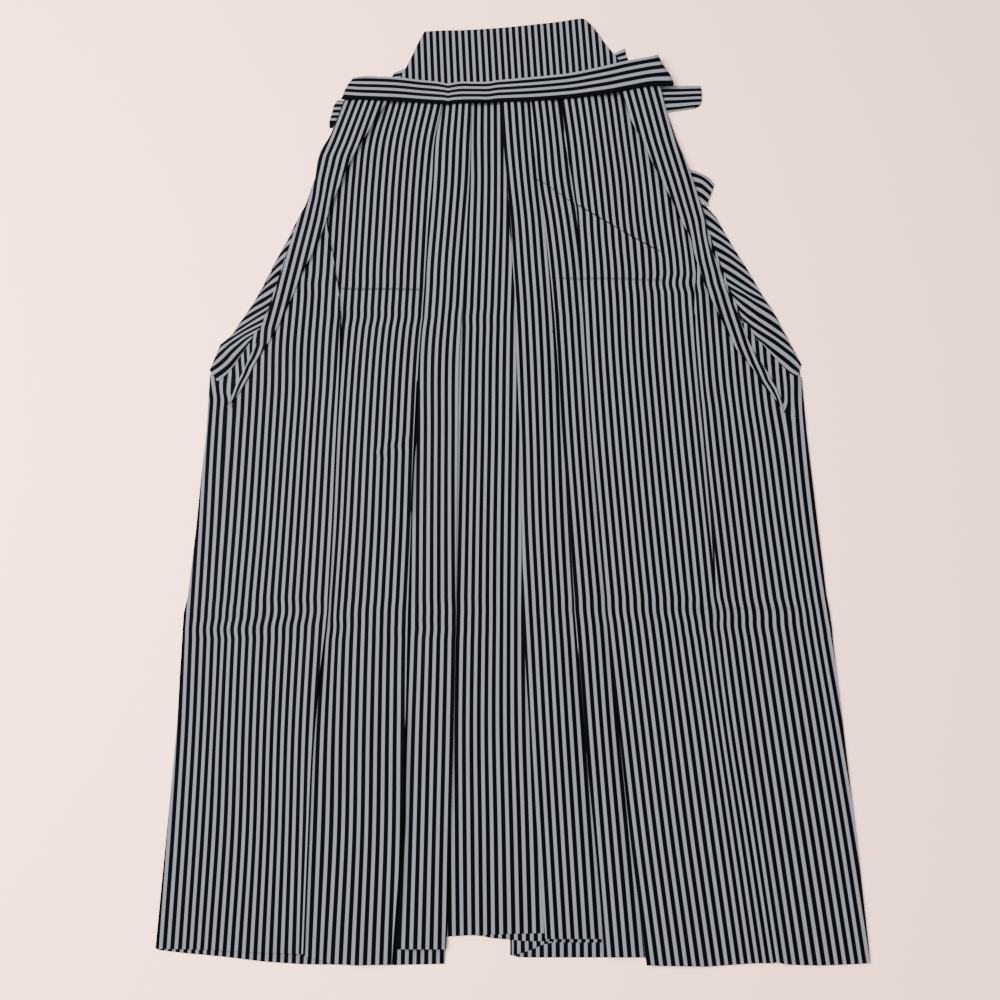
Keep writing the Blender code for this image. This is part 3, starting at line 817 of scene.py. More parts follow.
sideFold = {
    "tip": {"left": 35.5, "right": 25.5},
    "footLow": 18,  # the foot of the side opening lies between these heights
    "footTop": 128,
    "leanFrom": 2,  # the front's stripes lean from below its tip, fully so above it
    "leanTo": 12,
    "riseFrom": 8,  # and it comes up on to the front between these
    "riseTo": 14,
    "look": range(-16, 17, 4),  # mm to both sides where the front may hold it up
    "soften": 2,  # neighbours over which its height is evened out
    "waist": 410,
    "past": 3,  # mm past the waist line
    "steps": 10,
    "turnSteps": 6,
    "rowStep": 5,
    "clear": 0.35,  # mm above the front
    "creaseShare": 0.6,  # of the front's creases and ridges
    "ridgeShare": 0.7,
    "roundMost": 0.3,  # of its width, the radius of its turn
    "turnStripes": 0.025,  # stripe counts to a step round its turn
}
sideFoldOuter = {
    "left": (
        (440, -176), (401.6, -190.7), (363.7, -201.8), (350.8, -207.5), (338, -214.3), (325, -217.7),
        (300, -219.3), (271, -227), (257, -234), (200, -248), (153.5, -258.3), (107, -272), (67, -287),
        (57.5, -291.3), (49, -294), (40, -296.7), (35, -298.3),
    ),
    "right": (
        (440, 166), (422, 172.7), (390, 177.8), (362, 184.8), (337, 193.1), (310, 202), (277, 210),
        (260, 215.3), (247.5, 216.9), (235, 216.8), (220.6, 218.8), (206, 223.6), (189, 229.3),
        (165, 235.6), (136, 245.9), (118, 251.3), (101, 257), (86, 264.5), (72.5, 272), (65.5, 275.8),
        (58, 279), (50.5, 282.4), (43, 284.7), (36.5, 286.4), (25, 288.4),
    ),
}  # fmt: skip
sideFoldInner = {
    "left": (
        (440, -124), (401.6, -139.1), (389.7, -147.9), (370, -157.6), (350.8, -167.2), (335, -175.7),
        (315, -184), (297, -190.1), (277, -197.1), (265, -201), (245, -205.8), (231.6, -209.6),
        (213, -216.5), (195, -224.5), (177, -231.3), (157, -237.9), (141.7, -243.6), (120.7, -252.2),
        (106.8, -259), (93, -266.8), (84, -271.6), (76, -275.7), (67, -278.4), (60, -281), (54, -284.2),
        (49, -286.7), (43.5, -291), (37.5, -293), (35, -295.2),
    ),
    "right": (
        (440, 118), (405.5, 130.1), (383, 135.7), (369, 141), (341.8, 153.7), (325.8, 158.7), (306, 166.6),
        (279.8, 178.3), (252.5, 188.2), (230.4, 198.3), (199, 204.3), (176, 210.7), (153.5, 218.6),
        (139.4, 224.4), (124, 230.1), (109, 236.8), (95, 242.4), (85, 250), (76, 257), (68.5, 261),
        (61, 264.5), (53.5, 269), (48.5, 273), (41.5, 278.6), (36, 282), (30, 285), (25, 287),
    ),
}  # fmt: skip
sideFoldMiddle = {
    side: tuple((y, (x + along(sideFoldOuter[side], y)) / 2) for y, x in sideFoldInner[side])
    for side in ("left", "right")
}
# x of one light stripe of the fold at each height, and the repeat there
sideFoldGrain = {
    "left": (
        (440, -176, 7.3), (400, -188, 7.4), (350, -203, 7.6), (330, -210, 7.8), (300, -214.5, 7.5),
        (280, -216, 6.9), (250, -220.5, 7.6), (200, -229.5, 8), (150, -238.5, 7.9), (120, -244.5, 7.8),
        (100, -245.6, 7.4), (88, -250, 7.1), (76, -257.3, 6.7), (67, -261.2, 6.3), (57, -266.5, 6.1),
        (49, -273.2, 4.9), (40, -277.5, 4.5), (35, -281.2, 4),
    ),
    "right": (
        (440, 167, 8.1), (400, 175, 8.1), (350, 184.5, 8), (300, 196, 8), (250, 206, 7.4), (230, 208, 6.5),
        (200, 211.5, 7.2), (150, 220.5, 8), (130, 225, 8.2), (100, 233.5, 7.6), (80, 240.5, 7.3),
        (70, 245.5, 6.9), (60, 250.5, 6.3), (50, 256.2, 6.2), (40, 266.4, 4.4), (25, 267.8, 4.85),
    ),
}  # fmt: skip


def topOf(node):
    # the upper and lower height of a solid above a place, in millimetres
    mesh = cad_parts[node].data
    tree = BVHTree.FromPolygons([v.co for v in mesh.vertices], [p.vertices for p in mesh.polygons])

    def read(x, y):
        down = tree.ray_cast(Vector((x * mm, y * mm, 1)), Vector((0, 0, -1)))[0]
        up = tree.ray_cast(Vector((x * mm, y * mm, -1)), Vector((0, 0, 1)))[0]
        return None if down is None or up is None else (down.z / mm, up.z / mm)

    return read


def softened(values, reach):
    # running mean over the neighbours on both sides
    width = 2 * reach + 1
    return np.convolve(np.pad(values, reach, "edge"), np.ones(width) / width, "valid")


def turnedOver(edge, top, base, radius, inwards, steps):
    # (across, height) round an outer edge, from its under layer to its upper one
    middle, half = (top + base) / 2, (top - base) / 2
    angles = [math.pi * (1 - i / steps) for i in range(steps)]
    return [(edge + inwards * radius * (1 - math.sin(a)), middle + math.cos(a) * half) for a in angles]


def sideFoldPiece(side):
    inwards = inward[side]
    tip, steps, turnSteps = sideFold["tip"][side], sideFold["steps"], sideFold["turnSteps"]
    start = waistAt(along(sideFoldOuter[side], sideFold["waist"])) + sideFold["past"]
    count = int((start - tip) / sideFold["rowStep"])
    rows = []
    for r in range(count + 1):
        y = start + (tip - start) * r / count
        outer = along(sideFoldOuter[side], y)
        inner = along(sideFoldInner[side], y)
        grainX, pitch = (along([(p[0], p[k]) for p in sideFoldGrain[side]], y) for k in (1, 2))
        base = leg["frontLevel"] + (0 if y < sideFold["footTop"] else riseAt(side, outer, y))
        levels = []
        for i in range(steps + 1):
            x = outer + (inner - outer) * i / steps
            reach = max(levelAt(side, x + d, y) for d in sideFold["look"])
            level = leg["frontLevel"] + reach * silk["layer"] + riseAt(side, x, y)
            up = smooth(y, tip - sideFold["riseFrom"], tip + sideFold["riseTo"])
            levels.append(level + silk["layer"] * up + sideFold["clear"])
        levels = softened(levels, sideFold["soften"])
        top = levels[0]
        radius = min((top - base) / 2, abs(inner - outer) * sideFold["roundMost"])
        row = []
        for i, (x, z) in enumerate(turnedOver(outer, top, base, radius, inwards, turnSteps)):
            number = (x - grainX) / pitch - inwards * sideFold["turnStripes"] * (turnSteps - i)
            row.append((x, y, z, number, y * mm))
        for i in range(steps + 1):
            x = outer + inwards * radius + (inner - outer - inwards * radius) * i / steps
            shifted = x + shiftAt(x, y) * sideFold["creaseShare"]
            z = levels[i] + ridgeAt(x, y) * sideFold["ridgeShare"]
            row.append((shifted, y, z, (x - grainX) / pitch, y * mm))
        rows.append(row)
    node = "front_side_fold_" + side
    return clothPiece(side + "SideFold", rows, silk["thick"], "panel_cloth", [node], flip=side == "right")


# Lines along the stripes of each turned side, from its outer edge in, with their stripe counts:
# whole on a light stripe and half on a dark one. A pair is the count at each end.
backTurnLines = {
    "left": (
        (0.5, ((-229, 266), (-225, 268), (-215, 275))),
        (1.5, ((-232.6, 259.5), (-228, 262), (-216, 270))),
        (2.5, ((-241, 239.5), (-236, 246.5), (-220, 258))),
        (3.5, ((-247.3, 222.4), (-242, 230), (-224, 242))),
        (4.5, ((-255.7, 204.2), (-249, 212.5), (-228, 228))),
        (5.5, ((-262.3, 185.6), (-254.5, 195.5), (-232, 213))),
        (6.5, ((-269, 169.5), (-260, 180), (-237, 197))),
        (7.5, ((-276, 156.5), (-272, 160.5), (-265.5, 166), (-255.5, 173), (-241, 182))),
        (8.5, ((-284.5, 140.5), (-280.5, 144.5), (-274.5, 149.5), (-267, 154), (-260, 159.5), (-246, 168.5))),
        (9.5, ((-293.5, 125.5), (-289.5, 130), (-282, 135.5), (-275, 140), (-268.5, 144), (-263, 148),
               (-250, 156.5))),
        (10.5, ((-300, 113), (-294, 118.5), (-287, 123.5), (-278.5, 130), (-272.5, 134.5), (-266, 139),
                (-253, 147.5))),
        (11.5, ((-312, 101.5), (-307, 105), (-301, 108.5), (-294, 113.5), (-286.5, 118.5), (-279.5, 122.5),
                (-269, 128.5), (-256, 136))),
        (12.5, ((-318, 82.5), (-313.5, 88.5), (-308.5, 94.5), (-302.5, 101), (-295.5, 106), (-288.5, 111.5),
                (-281, 116), (-270, 122), (-257, 129))),
        (13.5, ((-321.5, 72), (-316, 75), (-310, 80), (-305, 85.5), (-300, 92.5), (-293, 100), (-286, 107),
                (-278.5, 112), (-271.5, 116.5), (-259, 124))),
        (14.5, ((-316, 64.5), (-310, 69), (-304, 74), (-299, 79), (-294, 86), (-289, 92.5), (-284, 99.5),
                (-278.5, 107.5), (-271.5, 114.8), (-260, 121.5))),
        ((15.05, 14.6), ((-312.5, 60), (-307.5, 63.5), (-302.5, 68.5), (-296.5, 76.5), (-291, 86),
                         (-285.5, 95), (-280, 105), (-274.5, 112.5), (-268, 116.5), (-260, 120.5))),
    ),
    "right": (
        (0.5, ((217, 268), (210, 273), (196, 284))),
        (1.5, ((228.3, 253.1), (221, 262.5), (200, 278))),
        (2.5, ((235.7, 236.5), (226.5, 246), (204, 264))),
        (3.5, ((242.1, 223), (230.5, 232), (206, 250))),
        (4.5, ((250.5, 206), (236.5, 218.5), (207, 238))),
        (5.5, ((259.4, 189.2), (241, 205), (210, 224))),
        (6.5, ((266.6, 173.6), (247, 190.5), (214, 213))),
        (7.5, ((273.8, 158.2), (252, 175.5), (217, 201))),
        (8.5, ((281.5, 145), (278, 150.5), (273, 153.5), (265.5, 157), (257, 162), (250, 167), (242.5, 172.5),
               (235, 178), (221, 189))),
        (9.5, ((289.5, 127), (287, 133.5), (280.5, 139.5), (273.5, 144.5), (265, 150.5), (258, 156),
               (250.5, 160.5), (238, 168), (225, 177))),
        (10.5, ((296, 112), (292, 118), (285, 123.5), (276, 130.5), (266.5, 137), (258.5, 144), (250, 151.5),
                (242.5, 159.5), (230, 169.5))),
        (11.5, ((303.5, 94), (299.5, 100), (293.5, 105.5), (285.5, 112), (275, 120), (266, 127),
                (256.5, 134), (247, 144), (235, 155))),
        (12.5, ((310, 79), (305, 86), (295, 95), (284, 104.5), (273.5, 111.5), (262, 120), (252.5, 128.5),
                (240, 141))),
        (13.5, ((307, 71), (301, 76), (295, 82), (288, 88), (280, 94.5), (273, 101.5), (264.5, 108.5),
                (254.5, 118.5), (243, 130))),
        ((14.5, 13.6), ((304.5, 64.5), (297.5, 68.5), (290.5, 76.5), (285.5, 82.5), (279.5, 90.5),
                        (274.5, 96.5), (270.5, 102), (264, 107.5), (254, 117.5), (243, 129))),
    ),
}  # fmt: skip
backTurn = {
    "level": 2.0,  # mid height of its upper layer, and of the cloth it turns back from
    "backLevel": 0.6,
    "columns": 18,
    "perLine": 6,
    "turnSteps": 6,
    "wave": 0.25,  # mm, soft waves along it, and their pace from row to row
    "pace": 0.28,
    "length": 0.05,  # m, of its cloth from the fold to the end
}


def linedRows(lines, steps, perLine):
    # rows of (x, y) and stripe count, from one striped line to the next
    evened = []
    for number, points in lines:
        ends = number if isinstance(number, tuple) else (number, number)
        evened.append((np.linspace(*ends, steps + 1), np.array(evenly(points, steps))))
    rows = []
    for (countA, spotsA), (countB, spotsB) in zip(evened, evened[1:]):
        for i in range(perLine):
            t = i / perLine
            rows.append((spotsA + (spotsB - spotsA) * t, countA + (countB - countA) * t))
    rows.append(evened[-1][::-1])
    return rows


def backTurnPiece(side):
    inwards = inward[side]
    top, base, columns = backTurn["level"], backTurn["backLevel"], backTurn["columns"]
    radius = (top - base) / 2
    rows = []
    for r, (spots, counts) in enumerate(linedRows(backTurnLines[side], columns, backTurn["perLine"])):
        edgeX, edgeY = spots[0]
        outside = turnedOver(edgeX, top, base, radius, inwards, backTurn["turnSteps"])
        row = [(x, edgeY, z, counts[0], 0.0) for x, z in outside]
        for i, ((x, y), number) in enumerate(zip(spots, counts)):
            t = i / columns
            wave = backTurn["wave"] * math.sin(r * backTurn["pace"]) * math.sin(math.pi * t)
            row.append((x + (0 if i else inwards * radius), y, top + wave, number, t * backTurn["length"]))
        rows.append(row)
    node = "back_side_fold_" + side
    return clothPiece(side + "BackTurn", rows, silk["thick"], "panel_cloth", [node], flip=side == "right")


backEdges = {
    "left": {
        "outer": ((406, -138), (264, -226), (235, -241), (217, -250.5), (193, -261), (174, -268.5),
                  (154, -277.5), (138, -285), (124, -292), (112, -300.5), (104, -309), (83, -316), (71, -320),
                  (50, -319), (0, -318.5), (-100, -321.5), (-190, -327.5), (-300, -325.5), (-400, -327.5),
                  (-500, -329.5)),
        "inner": ((413, -17), (-100, -17), (-512, -63)),
        "hem": ((-331, -500), (-325, -501), (-301, -503.5), (-271, -506), (-230, -510.5), (-199, -512.5),
                (-186, -513), (-108, -513.5), (-64, -512.5)),
    },
    "right": {
        "outer": ((423, 148), (350, 183), (310, 197), (277, 206), (268, 212), (247, 226), (224, 239),
                  (202, 249), (189, 256), (174, 264), (157, 271.5), (147, 278), (124, 287.5), (99, 298.5),
                  (85, 304), (78, 308), (40, 308.5), (0, 308.5), (-100, 312), (-200, 317), (-300, 321),
                  (-400, 325), (-510, 328)),
        "inner": ((413, -16.7), (-100, -16.7), (-492, -2.5), (-512, -2.5)),
        "hem": ((-2, -505), (7, -507), (122, -507), (200, -509), (328, -509)),
    },
}  # fmt: skip
backLeg = {
    "level": 0.55,
    "thick": 1.0,
    "top": 412,  # about its height at the waist, and its length
    "length": 912,
    "columns": 40,
    "rows": 70,
    "repeat": {"left": 7.19, "right": 7.42},
    "first": {"left": 0.604, "right": -0.133},  # stripe count at x 0
    "bevel": 0.25,
}


def backPiece(side):
    edges = backEdges[side]
    rows = []

    def across(y, t):
        return along(edges["outer"], y) * (1 - t) + along(edges["inner"], y) * t

    for r in range(backLeg["rows"] + 1):
        down = r / backLeg["rows"]
        row = []
        for i in range(backLeg["columns"] + 1):
            t = i / backLeg["columns"]
            x = across(backLeg["top"] - backLeg["length"] * down, t)
            top = waistAt(x)
            y = top + (along(edges["hem"], x) - top) * down
            x = across(y, t)
            number = x / backLeg["repeat"][side] + backLeg["first"][side]
            row.append((x, y, backLeg["level"], number, y * mm))
        rows.append(row)
    return clothPiece(
        side + "BackLeg", rows, backLeg["thick"], "panel_cloth", ["back_leg_" + side],
        flip=side == "right", bevel=backLeg["bevel"],
    )  # fmt: skip


board = {
    # its four edges, each from left to right or from the top down
    "top": ((-100, 493), (-76, 494.5), (-51, 495), (-37.5, 496), (-12, 498), (11.5, 500.5), (35, 503.5),
            (58.5, 506.5), (80, 510.5), (84, 511), (88, 509.5)),
    "low": ((-138.5, 406), (148, 423)),
    "left": ((-100, 493), (-106, 480), (-114, 459.5), (-122, 441), (-138.5, 406)),
    "right": ((88, 509.5), (94.5, 502.5), (112.5, 473.5), (119.5, 463.5), (148, 423)),
    "thick": 3.2,
    "clear": 0.1,  # mm above the floor
    "repeat": 7.41,
    "darkX": -99.5,  # its first dark stripe at the top corner, and how far that leans
    "darkY": 488.7,
    "lean": 0.052,
    "columns": 60,
    "rowCount": 20,
    "bevel": 1.0,
}  # fmt: skip


def boardPiece():
    columns, count = board["columns"], board["rowCount"]
    top, low = (np.array(evenly(board[k], columns)) for k in ("top", "low"))
    left, right = (np.array(evenly(board[k], count)) for k in ("left", "right"))
    rows = []
    for r in range(count + 1):
        down = r / count
        row = []
        for i in range(columns + 1):
            t = i / columns
            sides = (1 - down) * top[i] + down * low[i] + (1 - t) * left[r] + t * right[r]
            ends = (1 - down) * ((1 - t) * top[0] + t * top[-1]) + down * ((1 - t) * low[0] + t * low[-1])
            x, y = sides - ends
            dark = board["darkX"] + board["lean"] * (board["darkY"] - y)
            number = (x - dark) / board["repeat"] + 0.5
            row.append((x, y, board["thick"] / 2 + board["clear"], number, y * mm))
        rows.append(row)
    return clothPiece(
        "backBoard", rows, board["thick"], "panel_cloth", ["back_board"], measured=False, bevel=board["bevel"]
    )


band = {
    # x, upper and lower edge at each section, from left to right
    "rows": (
        (-171.5, 427, 397), (-148.5, 427, 396), (-126, 426, 395.5), (-103, 423.5, 394.5),
        (-82.5, 421.5, 393.5), (-75.5, 420, 393.5), (-71, 419, 392.5), (-66.5, 420, 393.5),
        (-59.5, 421.5, 394), (-39, 421.5, 394.5), (-23, 422, 394.5), (-16.5, 423.5, 395.5), (-7, 424.5, 396),
        (22.5, 427.5, 397), (45.5, 430, 398.5), (68, 433, 400.5), (91, 437.5, 403), (114, 442.5, 405.5),
        (137, 448.5, 410), (162.5, 454, 415),
    ),
    # its stripe lines as counts, and where they lie as shares of its width
    "counts": (-0.18, 0.5, 1.5, 2.5, 3.45, 3.7),
    "shares": (0, 0.17, 0.415, 0.66, 0.912, 1),
    # where those lines end at its two ends
    "left": ((-180, 425), (-182, 421.5), (-186, 415.5), (-189, 408.5), (-191, 401), (-193, 397)),
    "right": ((170.5, 456.5), (173, 449), (177, 440), (183, 430), (186.5, 418.5), (186.5, 415)),
    "endPaintedShade": 0.3,  # painted shade on its right end, which turns down away from the light, over this width
    "endWide": 7,
    "thick": 2.0,
    "columns": 120,
    "perLine": 3,
    "read": (-186, 178, 60),  # its solid's height is read between these x, at so many places,
    "soften": 3,  # and evened out over so many neighbours
    "bevel": 0.6,
}  # fmt: skip


def bandPiece():
    read = topOf("front_band")
    spots = np.linspace(*band["read"])
    middle = [(x, (top + low) / 2) for x, top, low in band["rows"]]
    found = [(x, read(x, along(middle, x))) for x in spots]
    known = [(x, sum(pair) / 2) for x, pair in found if pair]
    levels = softened([along(known, x) for x in spots], band["soften"])
    lines = []
    for i, (number, share) in enumerate(zip(band["counts"], band["shares"])):
        between = [(x, top + (low - top) * share) for x, top, low in band["rows"]]
        lines.append((number, [band["left"][i], *between, band["right"][i]]))
    rows = []
    for points, counts in linedRows(lines, band["columns"], band["perLine"]):
        end = points[-1][0]
        row = []
        for (x, y), number in zip(points, counts):
            # painted shade on the band's right end
            lost = band["endPaintedShade"] * smooth(x, end - band["endWide"], end)
            row.append((x, y, float(np.interp(x, spots, levels)), number, x * mm, lost))
        rows.append(row)
    return clothPiece(
        "frontBand", rows, band["thick"], "band_cloth", ["front_band"], measured=False, bevel=band["bevel"]
    )


ties = {
    # y and x of the outer and the inner end of each line along the stripes, and its count
    "left": (
        (401, -198.5, 401, -176, -0.45), (394, -202.5, 394, -175, 0.5), (386.5, -203.5, 386.5, -175, 1.5),
        (379.5, -205, 379.5, -175, 2.5), (374, -206.5, 374, -175, 3.3), (366, -206, 366, -176, 3.7),
    ),
    "right": (
        (420, 219.5, 420, 172, -0.3), (415, 220, 413.5, 172, 0.5), (408, 220, 406, 172, 1.5),
        (401, 219.5, 398.5, 172, 2.5), (396.5, 218, 392, 172, 3.1), (393.5, 215.5, 388, 173, 3.5),
        (390.5, 209, 385, 174, 4.0),
    ),
    "low": 0.5,  # mm, its under and upper layer
    "high": 1.8,
    "thick": 0.7,
    "steps": 8,
    "turnSteps": 6,
    "perLine": 4,
    "wave": 0.15,  # mm, a soft wave in its upper layer, and its pace along it
    "pace": 9,
    "upperShares": (0.2, 0.4, 0.6, 0.8, 1.0),
}  # fmt: skip


def tiePiece(side):
    out = -inward[side]
    low, high, steps = ties["low"], ties["high"], ties["turnSteps"]
    radius = (high - low) / 2
    lines = [(number, ((x0, y0), (x1, y1))) for y0, x0, y1, x1, number in ties[side]]
    rows = []
    for points, counts in linedRows(lines, ties["steps"], ties["perLine"]):
        edge, edgeY = points[0]
        inside, insideY = points[-1]
        middle = edge - out * (radius + ties["thick"] / 2)
        row = [(inside, insideY, low), ((inside + edge) / 2, (insideY + edgeY) / 2, low)]
        for i in range(steps + 1):
            angle = -math.pi / 2 + math.pi * i / steps
            height = (low + high) / 2 + radius * math.sin(angle)
            row.append((middle + out * radius * math.cos(angle), edgeY, height))
        for t in ties["upperShares"]:
            lift = ties["wave"] * math.sin(t * ties["pace"])
            row.append((middle + (inside - middle) * t, edgeY + (insideY - edgeY) * t, high + lift))
        rows.append([(*p, counts[0], p[0] * mm) for p in row])
    node = "front_tie_" + side
    return clothPiece(
        side + "FrontTie", rows, ties["thick"], "band_cloth", [node], flip=side == "left", measured=False
    )


# Small flat lengths of cloth, each as lines along its stripes with their counts.
patches = {
    "frontTieLoop": {
        "node": "front_tie_loop",
        "level": 2.0,
        "thick": 0.6,
        "measured": True,
        "lines": (
            (-0.35, ((192, 314.5), (201, 313.5), (213.5, 308.5), (223.5, 302), (228.5, 294.5))),
            (0.5, ((194, 309), (203.5, 307.5), (215.5, 302.5), (223.5, 294.5), (227, 290))),
            (1.5, ((197, 297), (206.5, 294.5), (212.5, 293), (220, 286.5), (224, 282))),
            (2.5, ((201, 287), (207, 284.5), (211, 282), (216.5, 277.5), (220.5, 272.5))),
            (3.2, ((205, 278), (210, 275), (213.5, 272.5), (217, 268.5), (221.5, 267))),
        ),
    },
    "leftBackTie": {
        "node": "back_tie_left",
        "level": 0.9,
        "thick": 1.3,
        "measured": False,
        "lines": (
            (-0.3, ((-120.8, 443.8), (-134.5, 438))),
            (0.5, ((-123.5, 436), (-136, 434))),
            (1, ((-125.5, 432), (-138, 430.5))),
            (1.5, ((-127, 428), (-139, 427))),
            (4.5, ((-138, 406), (-149, 406))),
        ),
    },
    "rightBackTie": {
        "node": "back_tie_right",
        "level": 0.9,
        "thick": 1.3,
        "measured": False,
        "lines": (
            (-0.3, ((119.5, 463), (133.5, 471))),
            (0.5, ((123, 460), (134.5, 464))),
            (1.5, ((127, 453.5), (136.5, 456))),
            (2.2, ((131, 447.5), (138, 450))),
            (5.3, ((148, 424), (157, 424))),
        ),
    },
}
patchForm = {"steps": 10, "perLine": 5, "stepLong": 0.004, "bevel": 0.25}


def patchPiece(name):
    patch = patches[name]
    rows = []
    for points, counts in linedRows(patch["lines"], patchForm["steps"], patchForm["perLine"]):
        row = []
        for i, ((x, y), number) in enumerate(zip(points, counts)):
            row.append((x, y, patch["level"], number, i * patchForm["stepLong"]))
        rows.append(row)
    (x0, y0), (x1, y1) = patch["lines"][0][1][0], patch["lines"][0][1][-1]
    x2, y2 = patch["lines"][-1][1][0]
    upwards = (x1 - x0) * (y2 - y0) - (y1 - y0) * (x2 - x0) > 0
    return clothPiece(
        name, rows, patch["thick"], "band_cloth", [patch["node"]],
        flip=not upwards, measured=patch["measured"], bevel=patchForm["bevel"],
    )  # fmt: skip


# What shows of the layers under the front's hem: the hem's points, a dark stripe and the repeat.
hemLayers = {
    "leftUnderHem": {
        "level": 1.55, "thick": 0.35, "top": -478, "dark": -8, "repeat": 7.38,
        "hem": ((-61, -489), (-30, -488.5), (-21, -490), (-12, -491), (-2.5, -491.5), (7, -492.5),
                (30, -493)),
    },
    "rightUnderHem": {
        "level": 1.5, "thick": 0.4, "top": -478, "dark": 36, "repeat": 7.42,
        "hem": ((31, -493), (50, -494), (68, -494), (84.5, -494)),
    },
    "turnedHemCorner": {
        "level": 1.22, "thick": 0.28, "top": -480, "dark": 2.2, "repeat": 7.25,
        "hem": ((1, -505), (12.5, -502), (20.5, -499), (28, -496), (37.5, -494)),
    },
}  # fmt: skip
hemSteps = 24
hemShares = (0, 0.3, 0.6, 0.9, 1)  # of the way down


def hemLayerPiece(name):
    layer = hemLayers[name]
    top = layer["top"]
    rows = []
    for x, y in evenly(layer["hem"], hemSteps):
        number = (x - layer["dark"]) / layer["repeat"] + 0.5
        row = []
        for t in hemShares:
            down = top + (min(y, top - 1) - top) * t
            row.append((x, down, layer["level"], number, down * mm))
        rows.append(row)
    return clothPiece(name, rows, layer["thick"], "panel_cloth", [])


# Bar tacks at the foot of each side opening, in doubled silk thread: a few stitches over one another.
tack = {
    "light": "#A9ABB4",
    "dark": "#0A0B11",
    "thread": 0.35,  # mm, radius
    "barShare": 1.3,  # of that radius, in the bar
    "sides": 8,  # of the thread's round
    "ply": 0.6,  # mm from one ply of its twist to the next
    "tone": (0.8, 1.1),  # painted shade in the hollows and painted highlight on the tops of its plies
    "rough": 0.5,
    "gloss": 0.2,
    "left": {"x": -297, "y": 33.5, "z": 3.6, "ring": 1.4, "steps": 16},
    "right": {"ends": ((288, 24.5), (291.2, 25)), "z": 2.6, "arch": 0.3, "steps": 5},
}


def threadSilk(name, colour):
    # twisted silk thread: a soft gloss, and painted shade and highlight along the twist
    material, tree = newMaterial(name)
    place = addNode(tree, "TexCoord").outputs["Object"]
    twist = addNode(tree, "TexWave", {"Scale": 1 / (tack["ply"] * mm), "Distortion": 1.0}, Vector=place)
    tone = ranged(tree, twist.outputs["Fac"], 0, 1, *tack["tone"])
    dyed = addNode(tree, "HueSaturation", {"Color": linearColour(colour)}, Value=tone).outputs[0]
    finish = {"Roughness": tack["rough"], "Specular IOR Level": tack["gloss"]}
    shader = addNode(tree, "BsdfPrincipled", finish, **{"Base Color": dyed})
    addNode(tree, "OutputMaterial", _0=shader.outputs[0])
    return material


def threadPiece(name, points, radius, material, closed):
    # a thread along points, as a round tube
    sides = tack["sides"]
    path = [Vector(p) for p in points]
    total = len(path)
    vertices = []
    for i, spot in enumerate(path):
        before = path[i - 1] if closed or i else spot
        after = path[(i + 1) % total] if closed or i < total - 1 else spot
        way = (after - before).normalized()
        across = way.cross(Vector((0, 0, 1))).normalized()
        lift = across.cross(way)
        for k in range(sides):
            angle = 2 * math.pi * k / sides
            off = (across * math.cos(angle) + lift * math.sin(angle)) * radius
            vertices.append([c * mm for c in spot + off])
    faces = []
    for i in range(total if closed else total - 1):
        for k in range(sides):
            a, b = i * sides, (i + 1) % total * sides
            faces.append((a + k, a + (k + 1) % sides, b + (k + 1) % sides, b + k))
    if not closed:
        faces.append(tuple(range(sides))[::-1])
        faces.append(tuple(range((total - 1) * sides, total * sides)))
    mesh = bpy.data.meshes.new(name)
    mesh.from_pydata(vertices, [], faces)
    mesh.shade_smooth()
    mesh.materials.append(material)
    piece = bpy.data.objects.new(name, mesh)
    bpy.context.scene.collection.objects.link(piece)
    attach(piece, "root")
    return piece


def tackPieces(side):
    spot = tack[side]
    points = []
    if side == "left":
        for i in range(spot["steps"]):
            angle = 2 * math.pi * i / spot["steps"]
            x, y = (spot["x"] + spot["ring"] * math.cos(angle), spot["y"] + spot["ring"] * math.sin(angle))
            points.append(drawnIn(x, y, spot["z"]))
        light = threadSilk("twistedSilkLight", tack["light"])
        return [threadPiece("leftTackRing", points, tack["thread"], light, True)]
    (x0, y0), (x1, y1) = spot["ends"]
    for i in range(spot["steps"] + 1):
        t = i / spot["steps"]
        height = spot["z"] + spot["arch"] * math.sin(math.pi * t)
        points.append(drawnIn(x0 + (x1 - x0) * t, y0 + (y1 - y0) * t, height))
    dark = threadSilk("twistedSilkDark", tack["dark"])
    return [threadPiece("rightTackBar", points, tack["thread"] * tack["barShare"], dark, False)]


made = {}
for side in ("left", "right"):
    made[side + "Back"] = backPiece(side)
    made[side + "Turn"] = backTurnPiece(side)
    made[side + "Leg"] = legPiece(side)
    made[side + "Fold"] = sideFoldPiece(side)
    made[side + "Tie"] = tiePiece(side)
    made[side + "Tacks"] = tackPieces(side)
    print(side, "side made")
made["board"] = boardPiece()
made["band"] = bandPiece()
for name in patches:
    made[name] = patchPiece(name)
for name in hemLayers:
    made[name] = hemLayerPiece(name)
print("pieces made")

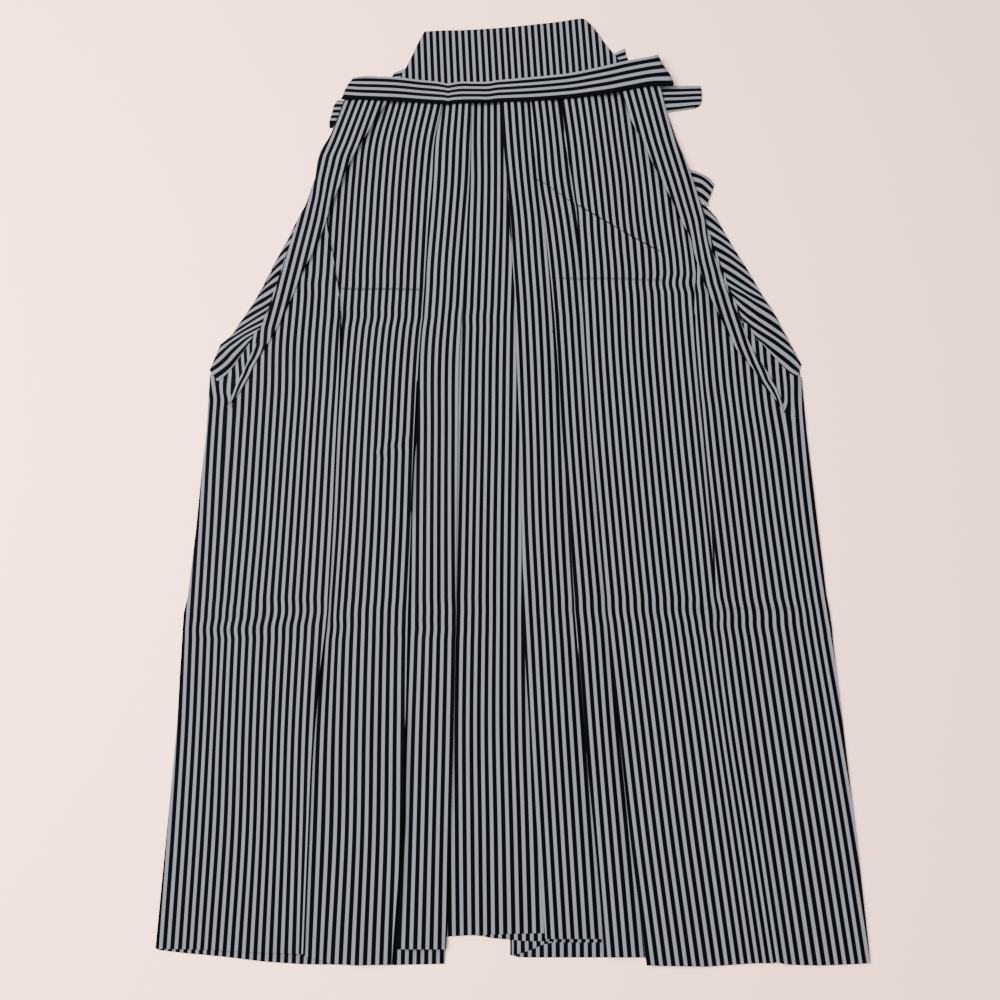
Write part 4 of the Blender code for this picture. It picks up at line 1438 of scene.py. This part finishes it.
# Flat size in metres of each piece's cloth as it shows, its area where it isn't a rectangle,
# how it is held, what it rests on and what goes with it.
sheets = {
    "leftBack": ((0.27, 0.93), 0.242, "laid", ["floor"], []),
    "rightBack": ((0.33, 0.93), 0.275, "laid", ["floor"], []),
    "leftLeg": ((0.52, 0.93), 0.405, "folded", ["leftBack"], ["leftUnderHem", "turnedHemCorner"]),
    "rightLeg": ((0.46, 0.93), 0.375, "folded", ["rightBack"], ["rightUnderHem"]),
    "leftTurn": ((0.045, 0.23), 0.0053, "folded", ["leftBack"], []),
    "rightTurn": ((0.05, 0.24), 0.0072, "folded", ["rightBack"], []),
    "leftFold": ((0.04, 0.39), 0.011, "folded", ["leftLeg"], ["leftTacks"]),
    "rightFold": ((0.045, 0.42), 0.0124, "folded", ["rightLeg"], ["rightTacks"]),
    "leftTie": ((0.035, 0.06), None, "folded", ["floor"], []),
    "rightTie": ((0.032, 0.095), None, "folded", ["floor"], []),
    "band": ((0.032, 0.37), None, "folded", ["leftLeg", "rightLeg"], []),
    "frontTieLoop": ((0.025, 0.04), None, "folded", ["rightTurn"], []),
    "leftBackTie": ((0.014, 0.033), None, "laid", ["floor"], []),
    "rightBackTie": ((0.013, 0.04), None, "laid", ["floor"], []),
}


def declareSheets():
    for key, (flat, area, held, restsOn, others) in sheets.items():
        extra = []
        for k in others:
            extra += made[k] if isinstance(made[k], list) else [made[k]]


declareSheets()

room = {
    "paper": "#F6DFD0",
    "paperRough": 0.9,
    "floorHalf": 4,  # m
    "floorDrop": 0.1,  # mm
    "fill": 0.62,
    "fillColour": (0.98, 0.99, 1, 1),
    "aim": (0, -0.05, 0),
}
# Watts, size and place in metres, colour, and whether a lamp lights the paper alone.
lamps = {
    "key": (29, 1.2, (-1.3, 0.5, 1.9), (1, 1, 1), False),  # window light from the upper left
    "sweep": (180, 1.4, (-1.1, -0.05, 1.5), (1, 0.69, 0.62), True),
}
corners = [(x * room["floorHalf"], y * room["floorHalf"], 0) for x, y in ((-1, -1), (1, -1), (1, 1), (-1, 1))]
floorMesh = bpy.data.meshes.new("floor")
floorMesh.from_pydata(corners, [], [(0, 1, 2, 3)])
floor = bpy.data.objects.new("floor", floorMesh)
bpy.context.scene.collection.objects.link(floor)
floor.location.z = -room["floorDrop"] * mm
floor.visible_diffuse = False
paper = bpy.data.materials.new("mattPaper")  # pale matt paper, no gloss
paper.use_nodes = True
shine = paper.node_tree.nodes["Principled BSDF"].inputs
shine["Base Color"].default_value = linearColour(room["paper"])
shine["Roughness"].default_value = room["paperRough"]
shine["Specular IOR Level"].default_value = 0.0
floorMesh.materials.append(paper)

for name, (power, size, place, colour, paperOnly) in lamps.items():
    lamp = bpy.data.lights.new(name, "AREA")
    lamp.energy = power
    lamp.size = size
    lamp.color = colour
    light = bpy.data.objects.new(name, lamp)
    light.location = place
    light.rotation_euler = (Vector(room["aim"]) - Vector(place)).to_track_quat("-Z", "Y").to_euler()
    bpy.context.scene.collection.objects.link(light)
    if paperOnly:
        lit = bpy.data.collections.new(name + "Lights")
        lit.objects.link(floor)
        light.light_linking.receiver_collection = lit

world = bpy.data.worlds.new("room")
world.use_nodes = True
sky = world.node_tree.nodes["Background"].inputs
sky["Color"].default_value = room["fillColour"]
sky["Strength"].default_value = room["fill"]
bpy.context.scene.world = world

camera = bpy.data.objects.new("camera", bpy.data.cameras.new("camera"))
camera.data.lens = eye["lens"]
camera.data.sensor_width = eye["sensor"]
camera.location = (eye["x"] * mm, eye["y"] * mm, eye["z"] * mm)
camera.rotation_euler = (math.radians(eye["tilt"]), 0, 0)
bpy.context.scene.collection.objects.link(camera)
bpy.context.scene.camera = camera
